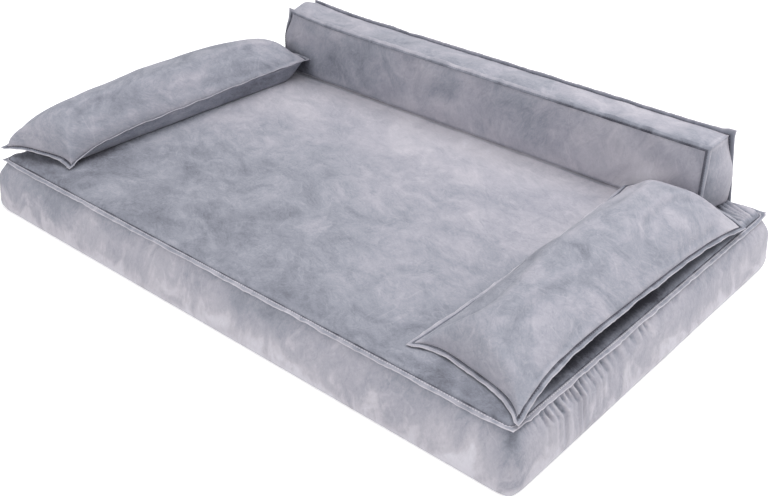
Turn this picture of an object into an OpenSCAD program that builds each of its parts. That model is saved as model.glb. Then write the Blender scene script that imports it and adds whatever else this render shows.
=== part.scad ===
// Dog sofa bed: a boxed foam mattress, an upright back bolster that lifts off
// its hook and loop strips, and two loose arm pillows, all covered in velvet.
// X runs along the bed, its open front faces -Y, Z is up.
// The origin is on the floor, at the middle of the mattress.

/* [Mattress] */
// Length of the mattress between the tips of its end flanges
mattress_l = 1016; // [760:1:1300]
// Depth of the mattress between the tips of its front and rear flanges
mattress_w = 661; // [500:1:900]
// Height of the mattress top above the floor
mattress_h = 92; // [76:1:140]
// Height of the support foam, measured from the floor
support_foam_h = 54; // [35:1:60]
// How far the seam of the top panel lies below the top
seam_drop = 6; // [4:0.5:10]
// Radius of the mattress corners at the seam, seen from above
corner_r = 10; // [7:0.5:18]
// How far the boxing swells out past the seam
belly = 15; // [12:0.5:22]
// Height at which the boxing swells most
belly_z = 25; // [15:1:32]
// How far the boxing draws in again from there to the floor
foot_tuck = 8; // [3:0.5:11]

/* [Cover] */
// Thickness of the velvet panels of the mattress and the bolster, with their backing
skin = 2; // [1:0.1:2.5]
// Thickness of the velvet panels of the pillows
pillow_skin = 1.2; // [0.8:0.1:1.4]
// Width of the flat flange that is sewn along the seams
flange_w = 7.5; // [4:0.5:10]
// Gap that keeps a loose cushion clear of what it stands on
rest_gap = 0.3; // [0.2:0.05:0.6]

/* [Bolster] */
// Length of the bolster between the tips of its end flanges
bolster_l = 858; // [500:1:960]
// Height of the bolster from the mattress top to the tips of its flanges
bolster_h = 117; // [80:1:170]
// Depth of the bolster between its front and rear seams
bolster_d = 70; // [50:1:110]
// How far the bolster stands to the right of the mattress's middle
bolster_shift = 11; // [-20:1:20]
// Gap between the rear flange of the mattress and the rear seam of the bolster
bolster_inset = 13; // [8:1:40]
// How far the front and rear panels swell
bolster_face_crown = 3.5; // [1:0.5:6]
// How far the top boxing swells
bolster_top_crown = 4; // [1:0.5:8]
// How far the end panels swell
bolster_end_crown = 8; // [1:0.5:14]

/* [Left pillow] */
// Width of the left pillow between its long seams
left_pillow_w = 137; // [110:1:180]
// Length of the left pillow between its short seams
left_pillow_l = 556; // [400:1:640]
// Height of the left pillow's crown above the mattress top
left_pillow_h = 86; // [60:1:110]
// Gap between the outer seam of the left pillow and the mattress's end flange
left_pillow_inset = 2; // [0:0.5:30]
// Gap between the rear seam of the left pillow and the front seam of the bolster
left_pillow_gap = 12; // [12:1:60]

/* [Right pillow] */
// Width of the right pillow between its long seams
right_pillow_w = 179; // [140:1:220]
// Length of the right pillow between its short seams
right_pillow_l = 558; // [400:1:640]
// Height of the right pillow's crown above the mattress top
right_pillow_h = 84; // [50:1:110]
// Gap between the outer seam of the right pillow and the mattress's end flange
right_pillow_inset = 9; // [2:0.5:30]
// Gap between the rear seam of the right pillow and the front seam of the bolster
right_pillow_gap = 6; // [6:1:60]

/* [Zips] */
// Height of the band that the bolster's zip fills
bolster_zip_band = 12; // [11:0.5:18]
// Height of the hem under the bolster's zip
bolster_hem_h = 14; // [8:0.5:30]
// Length of plain cover left at each end of the bolster's zip
bolster_zip_margin = 24; // [10:1:80]
// Thickness of the zip tape
tape_t = 0.8; // [0.5:0.1:1]
// Width of the row of zip teeth
coil_w = 3.6; // [3:0.1:4.5]
// Thickness of the row of zip teeth
coil_t = 1.4; // [1:0.1:1.6]
// Length of a zip slider
slider_l = 12; // [9:0.5:16]
// Width of a zip slider
slider_w = 8; // [7:0.5:9]
// Thickness of a zip slider
slider_t = 2.6; // [2.4:0.1:3]
// Length of a zip pull beyond its eye
pull_l = 20; // [12:1:30]
// Width of a zip pull
pull_w = 6; // [4.5:0.5:7]
// Thickness of a zip pull
pull_t = 1.2; // [0.8:0.1:1.6]

/* [Fastening strips] */
// Length of each hook and loop strip
strip_l = 180; // [60:1:220]
// Width of each hook and loop strip
strip_w = 38; // [20:1:40]
// Thickness of the loop strip that is sewn to the mattress
loop_t = 0.9; // [0.5:0.1:1]
// Number of hook and loop strips in the row
strip_count = 3; // [2:1:4]

/* [Hidden] */

// Facets that OpenSCAD draws on a round feature
round_fn = 32;
// One overrun serves every cut
overrun = 1;

// Colours of the velvet, the foams and the fittings
velvet = [0.65, 0.66, 0.71];
velvet_deep = [0.55, 0.56, 0.62];
lining = [0.33, 0.33, 0.36];
foam_firm = [0.86, 0.84, 0.70];
foam_soft = [0.93, 0.90, 0.86];
fibre = [0.95, 0.95, 0.96];
tape_grey = [0.45, 0.46, 0.50];
metal_grey = [0.62, 0.63, 0.66];

// The flange of the mattress stands up at this angle
flange_tilt = 45;
flange_out = flange_w * cos(flange_tilt);
flange_up = flange_w * sin(flange_tilt);

// The mattress seam, as a rounded rectangle and a height
seam_l = mattress_l - 2 * flange_out;
seam_w = mattress_w - 2 * flange_out;
seam_z = mattress_h - seam_drop;

// Steps in which the boxing's curve is drawn, above and below its belly
belly_steps = 5;
tuck_steps = 5;
// The rear zip takes the step of the curve that starts here
zip_step = 3;
step_h = (seam_z - belly_z) / belly_steps;
zip_z0 = belly_z + zip_step * step_h;
zip_z1 = zip_z0 + step_h;

// Distance of the boxing's outer face from the seam line at a height
function boxing_out(z) = z > belly_z
    ? belly * (1 - pow((z - belly_z) / (seam_z - belly_z), 2))
    : belly - foot_tuck * (1 - sqrt(1 - pow((belly_z - z) / belly_z, 2)));

// Heights at which the boxing's curve has a point, from the floor up
boxing_heights = concat(
    [for (i = [0:tuck_steps]) belly_z * (1 - cos(90 * i / tuck_steps))],
    [for (i = [1:belly_steps]) belly_z + i * step_h]
);
inner_heights = concat([skin], [for (z = boxing_heights) if (z > skin) z]);

outer_curve = [for (z = boxing_heights) [boxing_out(z), z]];
inner_curve = [for (z = inner_heights) [boxing_out(z) - skin, z]];
foot_in = boxing_out(0) - skin;

// Steps of the curve over which the top panel rolls down to its seam, and its reach
roll_steps = 4;
roll_share = 0.9;
roll_w = roll_share * corner_r;
top_outer_curve = [
    for (i = [0:roll_steps]) let (a = 90 * i / roll_steps)
        [-roll_w * (1 - cos(a)), seam_z + skin + (seam_drop - skin) * sin(a)]
];
top_inner_curve = [
    for (i = [1:roll_steps]) let (a = 90 * i / roll_steps)
        [-skin - (roll_w - skin) * (1 - cos(a)), seam_z + (seam_drop - skin) * sin(a)]
];
foam_curve = concat(inner_curve, top_inner_curve);
foam_table = [for (p = foam_curve) [p.y, p.x]];
foam_split = [lookup(support_foam_h, foam_table), support_foam_h];

function reversed(list) = [for (i = [len(list) - 1:-1:0]) list[i]];

// The mattress is drawn as rings or runs of points round its seam. A stop is one
// place on the way round: a corner's number and the direction seen from its centre.
corner_steps = 4;
function stop(corner, step) = [corner % 4, 90 * corner + 90 * step / corner_steps];
ring_path = [for (corner = [0:3], step = [0:corner_steps]) stop(corner, step)];
// From a step in one corner, along a side, to a step in the next corner
function side_path(side, first, last) = concat(
    [for (step = [first:corner_steps]) stop(side, step)],
    [for (step = [0:last]) stop(side + 1, step)]
);
corner_middle = corner_steps / 2;

corner_signs = [[1, 1], [-1, 1], [-1, -1], [1, -1]];

// A point that lies out from the seam by p.x, at height p.y, at a stop
function place(p, at) = [
    corner_signs[at[0]].x * (seam_l / 2 - corner_r) + (corner_r + p.x) * cos(at[1]),
    corner_signs[at[0]].y * (seam_w / 2 - corner_r) + (corner_r + p.x) * sin(at[1]),
    p.y
];

// The four-sided cells between two rows of points, as triangles
function cell_faces(a, b, c, d) = [[a, b, c], [a, c, d]];

// A closed solid of rings round the seam, one for each point of its curve,
// with flat ends inside the first ring and the last
module ring_stack(curve) {
    n = len(ring_path);
    last = (len(curve) - 1) * n;
    polyhedron(
        points = [for (p = curve, at = ring_path) place(p, at)],
        faces = concat(
            [[for (k = [0:n - 1]) k]],
            [[for (k = [n - 1:-1:0]) last + k]],
            [
                for (row = [0:len(curve) - 2], k = [0:n - 1])
                    let (a = row * n + k, b = row * n + (k + 1) % n)
                    for (t = cell_faces(a, a + n, b + n, b)) t
            ]
        )
    );
}

// Sweeps a closed outline along stops, with flat ends, or all round the seam
module sweep(outline, path, closed = false) {
    n = len(outline);
    m = len(path);
    polyhedron(
        points = [for (at = path, p = outline) place(p, at)],
        faces = concat(
            closed ? [] : [[for (k = [0:n - 1]) k], [for (k = [n - 1:-1:0]) (m - 1) * n + k]],
            [
                for (row = [0:m - (closed ? 1 : 2)], k = [0:n - 1])
                    let (
                        a = row * n + k,
                        b = row * n + (k + 1) % n,
                        c = ((row + 1) % m) * n + (k + 1) % n,
                        d = ((row + 1) % m) * n + k
                    )
                    for (t = cell_faces(a, d, c, b)) t
            ]
        )
    );
}

module support_foam() {
    color(foam_firm)
        ring_stack(concat([for (p = foam_curve) if (p.y < support_foam_h) p], [foam_split]));
}

module comfort_foam() {
    color(foam_soft)
        ring_stack(concat([foam_split], [for (p = foam_curve) if (p.y > support_foam_h) p]));
}

module mattress_top_panel() {
    color(velvet) ring_stack(concat(
        reversed(top_inner_curve), [[-skin, seam_z], [0, seam_z]], top_outer_curve
    ));
}

// The boxing's outline between the floor, or a height on its curve, and another height
function boxing_outline(z0, z1) = concat(
    [for (p = outer_curve) if (p.y > z0 - sliver && p.y < z1 + sliver) p],
    [for (p = reversed(inner_curve)) if (p.y > z0 - sliver && p.y < z1 + sliver) p],
    z0 == 0 ? [[foot_in, skin], [foot_in, 0]] : []
);
// Heights closer than this are the same
sliver = skin / 1000;

module mattress_front_boxing() {
    color(velvet)
        sweep(boxing_outline(0, seam_z), side_path(2, corner_middle, corner_middle));
}

// An end boxing also turns its rear corner, as far as the rear zip
module end_boxing() {
    sweep(boxing_outline(0, seam_z), side_path(3, corner_middle, corner_steps));
}

module mattress_left_boxing() {
    color(velvet) mirror([1, 0, 0]) end_boxing();
}

module mattress_right_boxing() {
    color(velvet) end_boxing();
}

// The rear boxing is two straight strips with the zip between them
module rear_strip(outline) {
    run_l = seam_l - 2 * corner_r;
    translate([-run_l / 2, seam_w / 2, 0]) rotate([90, 0, 90]) linear_extrude(run_l) polygon(outline);
}

module mattress_rear_boxing_lower() {
    color(velvet) rear_strip(boxing_outline(0, zip_z0));
}

module mattress_rear_boxing_upper() {
    color(velvet) rear_strip(boxing_outline(zip_z1, seam_z));
}

module mattress_bottom_panel() {
    color(lining) ring_stack([[foot_in, 0], [foot_in, skin]]);
}

// The flange roots on the upright rim of the top panel and leans outwards
module mattress_flange() {
    color(velvet_deep)
        sweep(
            [
                [0, seam_z], [flange_out, seam_z + flange_up],
                [flange_out, seam_z + skin + flange_up], [0, seam_z + skin]
            ],
            ring_path, closed = true
        );
}

// Zips. A zip's band is given by the two points, out and up, that its tape joins.
mattress_zip_lo = [seam_w / 2 + boxing_out(zip_z0) - skin, zip_z0];
mattress_zip_hi = [seam_w / 2 + boxing_out(zip_z1) - skin, zip_z1];
mattress_zip_l = seam_l - 2 * corner_r;

// Gap between the two tapes under the teeth
tape_gap = 0.4;
// Running gap between a slider and what it rides on
slider_gap = 0.3;
// Length of the stops that end the row of teeth
stop_l = 4;
stop_w = 5;
stop_t = 2;
// The slider's bridge: its bar, its posts and the height of the bar
bar_r = 0.8;
bar_up = 2.1;
post_t = 1.2;
post_gap = 3.4;
// The eye of the pull, round the bar
eye_r = 1.9;
eye_hole_r = 1.1;
eye_w = 3;

function zip_tilt(lo, hi) = atan2(lo.x - hi.x, hi.y - lo.y);
function zip_middle(lo, hi) = (lo + hi) / 2;

// Puts its child in the zip's own frame: X along the zip, Y outwards from the tape's back
module on_zip(lo, hi, x) {
    middle = zip_middle(lo, hi);
    translate([x, middle.x, middle.y])
        rotate([zip_tilt(lo, hi), 0, 0]) children();
}

// Outer face of the tape, along the zip's outward direction
function tape_face(lo, hi) = tape_t * cos(zip_tilt(lo, hi));

module tapes(lo, hi, l, x) {
    run = norm(hi - lo);
    below = zip_middle(lo, hi) - (hi - lo) * tape_gap / (2 * run);
    above = zip_middle(lo, hi) + (hi - lo) * tape_gap / (2 * run);
    out = [tape_t, 0];
    color(tape_grey)
        translate([x - l / 2, 0, 0])
            rotate([90, 0, 90])
                linear_extrude(l) {
                    polygon([lo, lo + out, below + out, below]);
                    polygon([above, above + out, hi + out, hi]);
                }
}

module teeth(lo, hi, l, x) {
    color(tape_grey) on_zip(lo, hi, x)
        translate([stop_l - l / 2, tape_face(lo, hi), -coil_w / 2])
            cube([l - 2 * stop_l, coil_t, coil_w]);
}

module stops(lo, hi, l, x) {
    color(metal_grey) on_zip(lo, hi, x)
        for (side = [0, 1])
            translate([side * (l - stop_l) - l / 2, tape_face(lo, hi), -stop_w / 2])
                cube([stop_l, stop_t, stop_w]);
}

// A slider is a block with a channel for the teeth and a bridge for its pull
module slider(lo, hi, x) {
    base = tape_face(lo, hi) + slider_gap;
    channel_w = coil_w + 2 * slider_gap;
    channel_t = coil_t;
    color(metal_grey) on_zip(lo, hi, x) translate([0, base, 0]) {
        difference() {
            translate([-slider_l / 2, 0, -slider_w / 2]) cube([slider_l, slider_t, slider_w]);
            translate([-slider_l / 2 - overrun, -overrun, -channel_w / 2])
                cube([slider_l + 2 * overrun, channel_t + overrun, channel_w]);
        }
        for (side = [-1, 1])
            translate([-bar_r, slider_t, side * (post_gap + post_t) / 2 - post_t / 2])
                cube([2 * bar_r, bar_up + bar_r, post_t]);
        translate([0, slider_t + bar_up, -post_gap / 2 - post_t / 2])
            cylinder(h = post_gap + post_t, r = bar_r, $fn = round_fn);
    }
}

// A pull is an eye round the slider's bar, a neck and a flat tab
module pull(lo, hi, x) {
    bar = tape_face(lo, hi) + slider_gap + slider_t + bar_up;
    color(metal_grey) on_zip(lo, hi, x) translate([0, bar, 0])
        difference() {
            union() {
                translate([0, 0, -eye_w / 2]) cylinder(h = eye_w, r = eye_r, $fn = round_fn);
                translate([0, -pull_t / 2, -eye_w / 2]) cube([2 * eye_r, pull_t, eye_w]);
                translate([2 * eye_r, -pull_t / 2, -pull_w / 2]) cube([pull_l, pull_t, pull_w]);
            }
            translate([0, 0, -eye_w / 2 - overrun])
                cylinder(h = eye_w + 2 * overrun, r = eye_hole_r, $fn = round_fn);
        }
}

// The sliders are parked at the left ends of their zips
mattress_slider_x = stop_l + slider_l - mattress_zip_l / 2;

module mattress_zip_tapes() { tapes(mattress_zip_lo, mattress_zip_hi, mattress_zip_l, 0); }
module mattress_zip_teeth() { teeth(mattress_zip_lo, mattress_zip_hi, mattress_zip_l, 0); }
module mattress_zip_stops() { stops(mattress_zip_lo, mattress_zip_hi, mattress_zip_l, 0); }
module mattress_zip_slider() { slider(mattress_zip_lo, mattress_zip_hi, mattress_slider_x); }
module mattress_zip_pull() { pull(mattress_zip_lo, mattress_zip_hi, mattress_slider_x); }

// The bolster's cover, between its seams
bolster_x0 = bolster_shift - bolster_l / 2 + flange_w;
bolster_x1 = bolster_shift + bolster_l / 2 - flange_w;
bolster_y1 = mattress_w / 2 - bolster_inset;
bolster_y0 = bolster_y1 - bolster_d;
// Its lower flanges are folded under it, so its own underside stands on them
bolster_z0 = mattress_h + rest_gap + skin;
bolster_z1 = mattress_h + bolster_h - flange_w;
bolster_size = [bolster_x1 - bolster_x0, bolster_d, bolster_z1 - bolster_z0];

// Grid divisions of a swollen panel along its length, its height and its depth
length_cells = 12;
height_cells = 4;
depth_cells = 4;

// A swollen panel lies on the XY plane: flat underneath, its rim one skin thick
module crowned_panel(l, w, crown, l_cells, w_cells) {
    columns = l_cells + 1;
    count = columns * (w_cells + 1);
    bottom = [
        for (j = [0:w_cells], i = [0:l_cells]) [l * i / l_cells, w * j / w_cells, 0]
    ];
    top = [
        for (j = [0:w_cells], i = [0:l_cells])
            [l * i / l_cells, w * j / w_cells,
                skin + crown * swell(i / l_cells, 2) * swell(j / w_cells, 2)]
    ];
    polyhedron(
        points = concat(bottom, top),
        faces = concat(
            grid_faces(l_cells, w_cells, count, false),
            grid_faces(l_cells, w_cells, 0, true),
            rim_faces(l_cells, w_cells, count)
        )
    );
}

// 0 at both ends of a span, 1 at its middle, flatter there the higher the power
function swell(t, power) = 1 - pow(abs(2 * t - 1), power);
function mix(a, b, t) = a + (b - a) * t;

// Triangles of a grid of points; the diagonals of each quarter run to its own corner
function grid_faces(nx, ny, start, flipped) = [
    for (j = [0:ny - 1], i = [0:nx - 1])
        let (
            a = start + j * (nx + 1) + i,
            b = a + 1,
            c = b + nx + 1,
            d = a + nx + 1,
            split = (i < nx / 2) == (j < ny / 2)
                ? [[a, c, b], [a, d, c]]
                : [[a, d, b], [b, d, c]]
        )
        for (t = split) flipped ? reversed(t) : t
];

// Indexes of the points round the edge of a grid, in one turn
function rim_loop(nx, ny) = concat(
    [for (i = [0:nx - 1]) i],
    [for (j = [0:ny - 1]) nx + j * (nx + 1)],
    [for (i = [nx:-1:1]) ny * (nx + 1) + i],
    [for (j = [ny:-1:1]) j * (nx + 1)]
);

// The walls between a lower grid and an upper one that starts after count points
function rim_faces(nx, ny, count) = let (loop = rim_loop(nx, ny), n = len(loop)) [
    for (k = [0:n - 1]) let (a = loop[k], b = loop[(k + 1) % n])
        for (t = [[a, b + count, b], [a, a + count, b + count]]) t
];

module bolster_foam() {
    color(foam_firm) translate([bolster_x0 + skin, bolster_y0 + skin, bolster_z0 + skin])
        cube(bolster_size - 2 * [skin, skin, skin]);
}

module bolster_front_panel() {
    color(velvet) translate([bolster_x0, bolster_y0 + skin, bolster_z0])
        rotate([90, 0, 0])
            crowned_panel(bolster_size.x, bolster_size.z, bolster_face_crown,
                length_cells, height_cells);
}

// Height at which the bolster's rear panel starts, above its hem and zip
bolster_zip_z0 = bolster_z0 + bolster_hem_h;
bolster_zip_z1 = bolster_zip_z0 + bolster_zip_band;

module bolster_rear_panel() {
    color(velvet) translate([bolster_x1, bolster_y1 - skin, bolster_zip_z1])
        rotate([90, 0, 180])
            crowned_panel(bolster_size.x, bolster_z1 - bolster_zip_z1, bolster_face_crown,
                length_cells, height_cells);
}

module bolster_rear_hem() {
    color(velvet) translate([bolster_x0, bolster_y1 - skin, bolster_z0]) {
        cube([bolster_size.x, skin, bolster_hem_h]);
        for (x = [0, bolster_size.x - bolster_zip_margin])
            translate([x, 0, 0])
                cube([bolster_zip_margin, skin, bolster_hem_h + bolster_zip_band]);
    }
}

module bolster_top_boxing() {
    color(velvet) translate([bolster_x0, bolster_y0 + skin, bolster_z1 - skin])
        crowned_panel(bolster_size.x, bolster_d - 2 * skin, bolster_top_crown,
            length_cells, depth_cells);
}

module bolster_bottom_boxing() {
    color(lining) translate([bolster_x0, bolster_y0 + skin, bolster_z0])
        cube([bolster_size.x, bolster_d - 2 * skin, skin]);
}

// An end panel, swollen towards +X
module end_panel() {
    rotate([90, 0, 90])
        crowned_panel(bolster_d - 2 * skin, bolster_size.z - 2 * skin, bolster_end_crown,
            depth_cells, height_cells);
}

module bolster_right_end() {
    color(velvet) translate([bolster_x1 - skin, bolster_y0 + skin, bolster_z0 + skin])
        end_panel();
}

module bolster_left_end() {
    color(velvet) translate([bolster_x0 + skin, bolster_y1 - skin, bolster_z0 + skin])
        rotate([0, 0, 180]) end_panel();
}

// A flange stands out round three sides of a bolster panel, in its plane,
// and is folded under the bolster along the bottom
module bolster_flange(y, fold_y) {
    translate([bolster_x0 - flange_w, y, bolster_z0])
        difference() {
            cube([bolster_l, skin, bolster_size.z + flange_w]);
            translate([flange_w, -overrun, -overrun])
                cube([bolster_size.x, skin + 2 * overrun, bolster_size.z + overrun]);
        }
    translate([bolster_x0, fold_y, bolster_z0 - skin])
        cube([bolster_size.x, flange_w, skin]);
}

module bolster_front_flange() {
    color(velvet_deep) bolster_flange(bolster_y0, bolster_y0);
}

module bolster_rear_flange() {
    color(velvet_deep) bolster_flange(bolster_y1 - skin, bolster_y1 - flange_w);
}

bolster_zip_lo = [bolster_y1 - skin, bolster_zip_z0];
bolster_zip_hi = [bolster_y1 - skin, bolster_zip_z1];
bolster_zip_l = bolster_size.x - 2 * bolster_zip_margin;
bolster_slider_x = bolster_shift + stop_l + slider_l - bolster_zip_l / 2;

module bolster_zip_tapes() {
    tapes(bolster_zip_lo, bolster_zip_hi, bolster_zip_l, bolster_shift);
}
module bolster_zip_teeth() {
    teeth(bolster_zip_lo, bolster_zip_hi, bolster_zip_l, bolster_shift);
}
module bolster_zip_stops() {
    stops(bolster_zip_lo, bolster_zip_hi, bolster_zip_l, bolster_shift);
}
module bolster_zip_slider() { slider(bolster_zip_lo, bolster_zip_hi, bolster_slider_x); }
module bolster_zip_pull() { pull(bolster_zip_lo, bolster_zip_hi, bolster_slider_x); }

// Hook strips under the bolster meet loop strips on the mattress
hook_t = skin - loop_t;
strip_y = (bolster_y0 + bolster_y1) / 2;

module strip_row(z, t) {
    pitch = bolster_size.x / strip_count;
    for (i = [0:strip_count - 1])
        translate([bolster_x0 + pitch * (i + 1 / 2) - strip_l / 2, strip_y - strip_w / 2, z])
            cube([strip_l, strip_w, t]);
}

module loop_strips() {
    color(lining) strip_row(mattress_h, loop_t);
}

module hook_strips() {
    color(lining) strip_row(bolster_z0 - hook_t, hook_t);
}

// Arm pillows. Corners go front left, front right, rear left, rear right, each as
// shares of the pillow's width, length and height from the middle of its seams.
left_corner_shares = [
    [-0.5, -0.5, 0.15], [0.33, -0.425, 0.04], [-0.44, 0.498, 0.21], [0.5, 0.5, 0.47]
];
right_corner_shares = [
    [-0.49, -0.44, 0.035], [0.5, -0.5, 0.06], [-0.5, 0.488, 0.18], [0.47, 0.5, 0.08]
];
// How far the left, right, front and rear seams are drawn in between the corners
left_draw = [-2, 12, 8, 6];
right_draw = [8, 4, 22, 10];
// How far the same seams rise between the corners
left_lift = [14, 22, 6, 8];
right_lift = [2, 18, 0, 24];
// Crown heights at the front and the rear, as shares of the pillow's height
left_crown_shares = [0.93, 1];
right_crown_shares = [0.8, 1];
// Powers that make the crown blunt at its sides and ends, lower is blunter
left_bluntness = [0.55, 0.45];
right_bluntness = [0.72, 0.4];
// Powers that shape the seams, the crown and the underside across and along
seam_power = 4;
crown_powers = [2.6, 4];
under_powers = [6, 14];
// The underside reaches the mattress once this share of its swell is reached
under_share = 0.78;
// Share of even spacing among the grid lines across and along, the rest crowd the seams
even_shares = [0, 0.5];
pillow_cells = [8, 16];

left_middle = [
    left_pillow_inset + left_pillow_w / 2 - mattress_l / 2,
    bolster_y0 - left_pillow_gap - left_pillow_l / 2,
    mattress_h
];
right_middle = [
    mattress_l / 2 - right_pillow_inset - right_pillow_w / 2,
    bolster_y0 - right_pillow_gap - right_pillow_l / 2,
    mattress_h
];

// A pillow's data: its corners, draws, lifts, front and rear crown heights and bluntness
function pillow_data(middle, size, shares, draws, lifts, crown_shares, bluntness) = [
    [for (s = shares) middle + [s.x * size.x, s.y * size.y, s.z * size.z]],
    draws,
    lifts,
    crown_shares * size.z,
    bluntness
];
left_pillow = pillow_data(left_middle, [left_pillow_w, left_pillow_l, left_pillow_h],
    left_corner_shares, left_draw, left_lift, left_crown_shares, left_bluntness);
right_pillow = pillow_data(right_middle, [right_pillow_w, right_pillow_l, right_pillow_h],
    right_corner_shares, right_draw, right_lift, right_crown_shares, right_bluntness);

// Place of a grid line, from 0 to 1
function spaced(i, n, even) = mix((1 - cos(180 * i / n)) / 2, i / n, even);

// The four seams, and the sheet that spans them
function seam_left(p, v) = mix(p[0][0], p[0][2], v)
    + swell(v, seam_power) * [p[1][0], 0, p[2][0]];
function seam_right(p, v) = mix(p[0][1], p[0][3], v)
    + swell(v, seam_power) * [-p[1][1], 0, p[2][1]];
function seam_front(p, u) = mix(p[0][0], p[0][1], u)
    + swell(u, seam_power) * [0, p[1][2], p[2][2]];
function seam_rear(p, u) = mix(p[0][2], p[0][3], u)
    + swell(u, seam_power) * [0, -p[1][3], p[2][3]];
function seam_sheet(p, u, v) =
    mix(seam_left(p, v), seam_right(p, v), u)
    + mix(seam_front(p, u), seam_rear(p, u), v)
    - mix(mix(p[0][0], p[0][1], u), mix(p[0][2], p[0][3], u), v);

// Inner faces of the cover above and below the fill
function fill_top(p, u, v) = let (
        s = seam_sheet(p, u, v),
        crown_z = mattress_h + mix(p[3][0], p[3][1], v) - pillow_skin,
        share = pow(swell(u, crown_powers.x), p[4].x)
            * pow(swell(v, crown_powers.y), p[4].y)
    )
    [s.x, s.y, mix(s.z, crown_z, share)];
function fill_bottom(p, u, v) = let (
        s = seam_sheet(p, u, v),
        share = swell(u, under_powers.x) * swell(v, under_powers.y) / under_share
    )
    [s.x, s.y, mix(s.z, mattress_h + rest_gap + pillow_skin, min(1, share))];

function pillow_grid(p, on_top, lift) = [
    for (j = [0:pillow_cells.y], i = [0:pillow_cells.x])
        let (
            u = spaced(i, pillow_cells.x, even_shares.x),
            v = spaced(j, pillow_cells.y, even_shares.y)
        )
        (on_top ? fill_top(p, u, v) : fill_bottom(p, u, v)) + [0, 0, lift]
];
pillow_count = (pillow_cells.x + 1) * (pillow_cells.y + 1);

module pillow_fill(p) {
    color(fibre) polyhedron(
        points = concat(pillow_grid(p, false, 0), pillow_grid(p, true, 0)),
        faces = concat(
            grid_faces(pillow_cells.x, pillow_cells.y, pillow_count, false),
            grid_faces(pillow_cells.x, pillow_cells.y, 0, true)
        )
    );
}

// A cover panel lies on the fill, one pillow skin thick
module pillow_panel(p, on_top) {
    polyhedron(
        points = concat(
            pillow_grid(p, on_top, on_top ? 0 : -pillow_skin),
            pillow_grid(p, on_top, on_top ? pillow_skin : 0)
        ),
        faces = concat(
            grid_faces(pillow_cells.x, pillow_cells.y, pillow_count, false),
            grid_faces(pillow_cells.x, pillow_cells.y, 0, true),
            rim_faces(pillow_cells.x, pillow_cells.y, pillow_count)
        )
    );
}

// Which way the flange points at a place on the grid: away from the seam, square at a corner
function outward(i, n) = i == 0 ? -1 : i == n ? 1 : 0;

// The flange is a flat band round the seam, two pillow skins thick
module pillow_flange(p) {
    nx = pillow_cells.x;
    ny = pillow_cells.y;
    grid = pillow_grid(p, true, 0);
    loop = rim_loop(nx, ny);
    n = len(loop);
    ways = [for (k = loop) [outward(k % (nx + 1), nx), outward(floor(k / (nx + 1)), ny), 0]];
    up = [0, 0, pillow_skin];
    points = concat(
        [for (k = [0:n - 1]) grid[loop[k]] - up],
        [for (k = [0:n - 1]) grid[loop[k]] + up],
        [for (k = [0:n - 1]) grid[loop[k]] + flange_w * ways[k] + up],
        [for (k = [0:n - 1]) grid[loop[k]] + flange_w * ways[k] - up]
    );
    color(velvet_deep) polyhedron(
        points = points,
        faces = [
            for (ring = [0:3], k = [0:n - 1])
                let (
                    a = ring * n + k,
                    b = ring * n + (k + 1) % n,
                    c = ((ring + 1) % 4) * n + (k + 1) % n,
                    d = ((ring + 1) % 4) * n + k
                )
                for (t = [[a, b, c], [a, c, d]]) t
        ]
    );
}

module left_pillow_fill() { pillow_fill(left_pillow); }
module left_pillow_top_panel() { color(velvet) pillow_panel(left_pillow, true); }
module left_pillow_bottom_panel() { color(velvet) pillow_panel(left_pillow, false); }
module left_pillow_flange() { pillow_flange(left_pillow); }
module right_pillow_fill() { pillow_fill(right_pillow); }
module right_pillow_top_panel() { color(velvet) pillow_panel(right_pillow, true); }
module right_pillow_bottom_panel() { color(velvet) pillow_panel(right_pillow, false); }
module right_pillow_flange() { pillow_flange(right_pillow); }

support_foam();
comfort_foam();
mattress_top_panel();
mattress_front_boxing();
mattress_left_boxing();
mattress_right_boxing();
mattress_rear_boxing_lower();
mattress_rear_boxing_upper();
mattress_bottom_panel();
mattress_flange();
mattress_zip_tapes();
mattress_zip_teeth();
mattress_zip_stops();
mattress_zip_slider();
mattress_zip_pull();
loop_strips();
bolster_foam();
bolster_front_panel();
bolster_rear_panel();
bolster_rear_hem();
bolster_top_boxing();
bolster_bottom_boxing();
bolster_left_end();
bolster_right_end();
bolster_front_flange();
bolster_rear_flange();
bolster_zip_tapes();
bolster_zip_teeth();
bolster_zip_stops();
bolster_zip_slider();
bolster_zip_pull();
hook_strips();
left_pillow_fill();
left_pillow_top_panel();
left_pillow_bottom_panel();
left_pillow_flange();
right_pillow_fill();
right_pillow_top_panel();
right_pillow_bottom_panel();
right_pillow_flange();
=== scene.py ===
"""Dog sofa bed: velvet covers, cushions, flanges, zips and a plain studio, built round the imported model."""
import math

import bpy
import numpy as np
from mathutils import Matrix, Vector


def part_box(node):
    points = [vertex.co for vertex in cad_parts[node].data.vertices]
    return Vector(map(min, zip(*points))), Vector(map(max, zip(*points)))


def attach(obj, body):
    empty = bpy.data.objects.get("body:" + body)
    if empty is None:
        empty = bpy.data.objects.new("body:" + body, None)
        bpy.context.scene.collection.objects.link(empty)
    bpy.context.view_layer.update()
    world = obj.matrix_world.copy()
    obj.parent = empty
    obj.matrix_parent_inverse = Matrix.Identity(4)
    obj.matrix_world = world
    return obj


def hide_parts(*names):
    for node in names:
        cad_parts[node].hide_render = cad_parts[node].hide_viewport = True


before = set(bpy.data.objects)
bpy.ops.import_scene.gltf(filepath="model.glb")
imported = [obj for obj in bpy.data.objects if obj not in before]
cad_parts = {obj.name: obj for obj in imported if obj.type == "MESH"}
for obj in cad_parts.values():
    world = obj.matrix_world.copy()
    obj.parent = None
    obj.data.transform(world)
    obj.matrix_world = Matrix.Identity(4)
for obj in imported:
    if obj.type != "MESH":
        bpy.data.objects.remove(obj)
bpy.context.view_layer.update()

MM = 0.001
UP = np.array([0.0, 0.0, 1.0])
ALONG = np.array([1.0, 0.0, 0.0])


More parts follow.
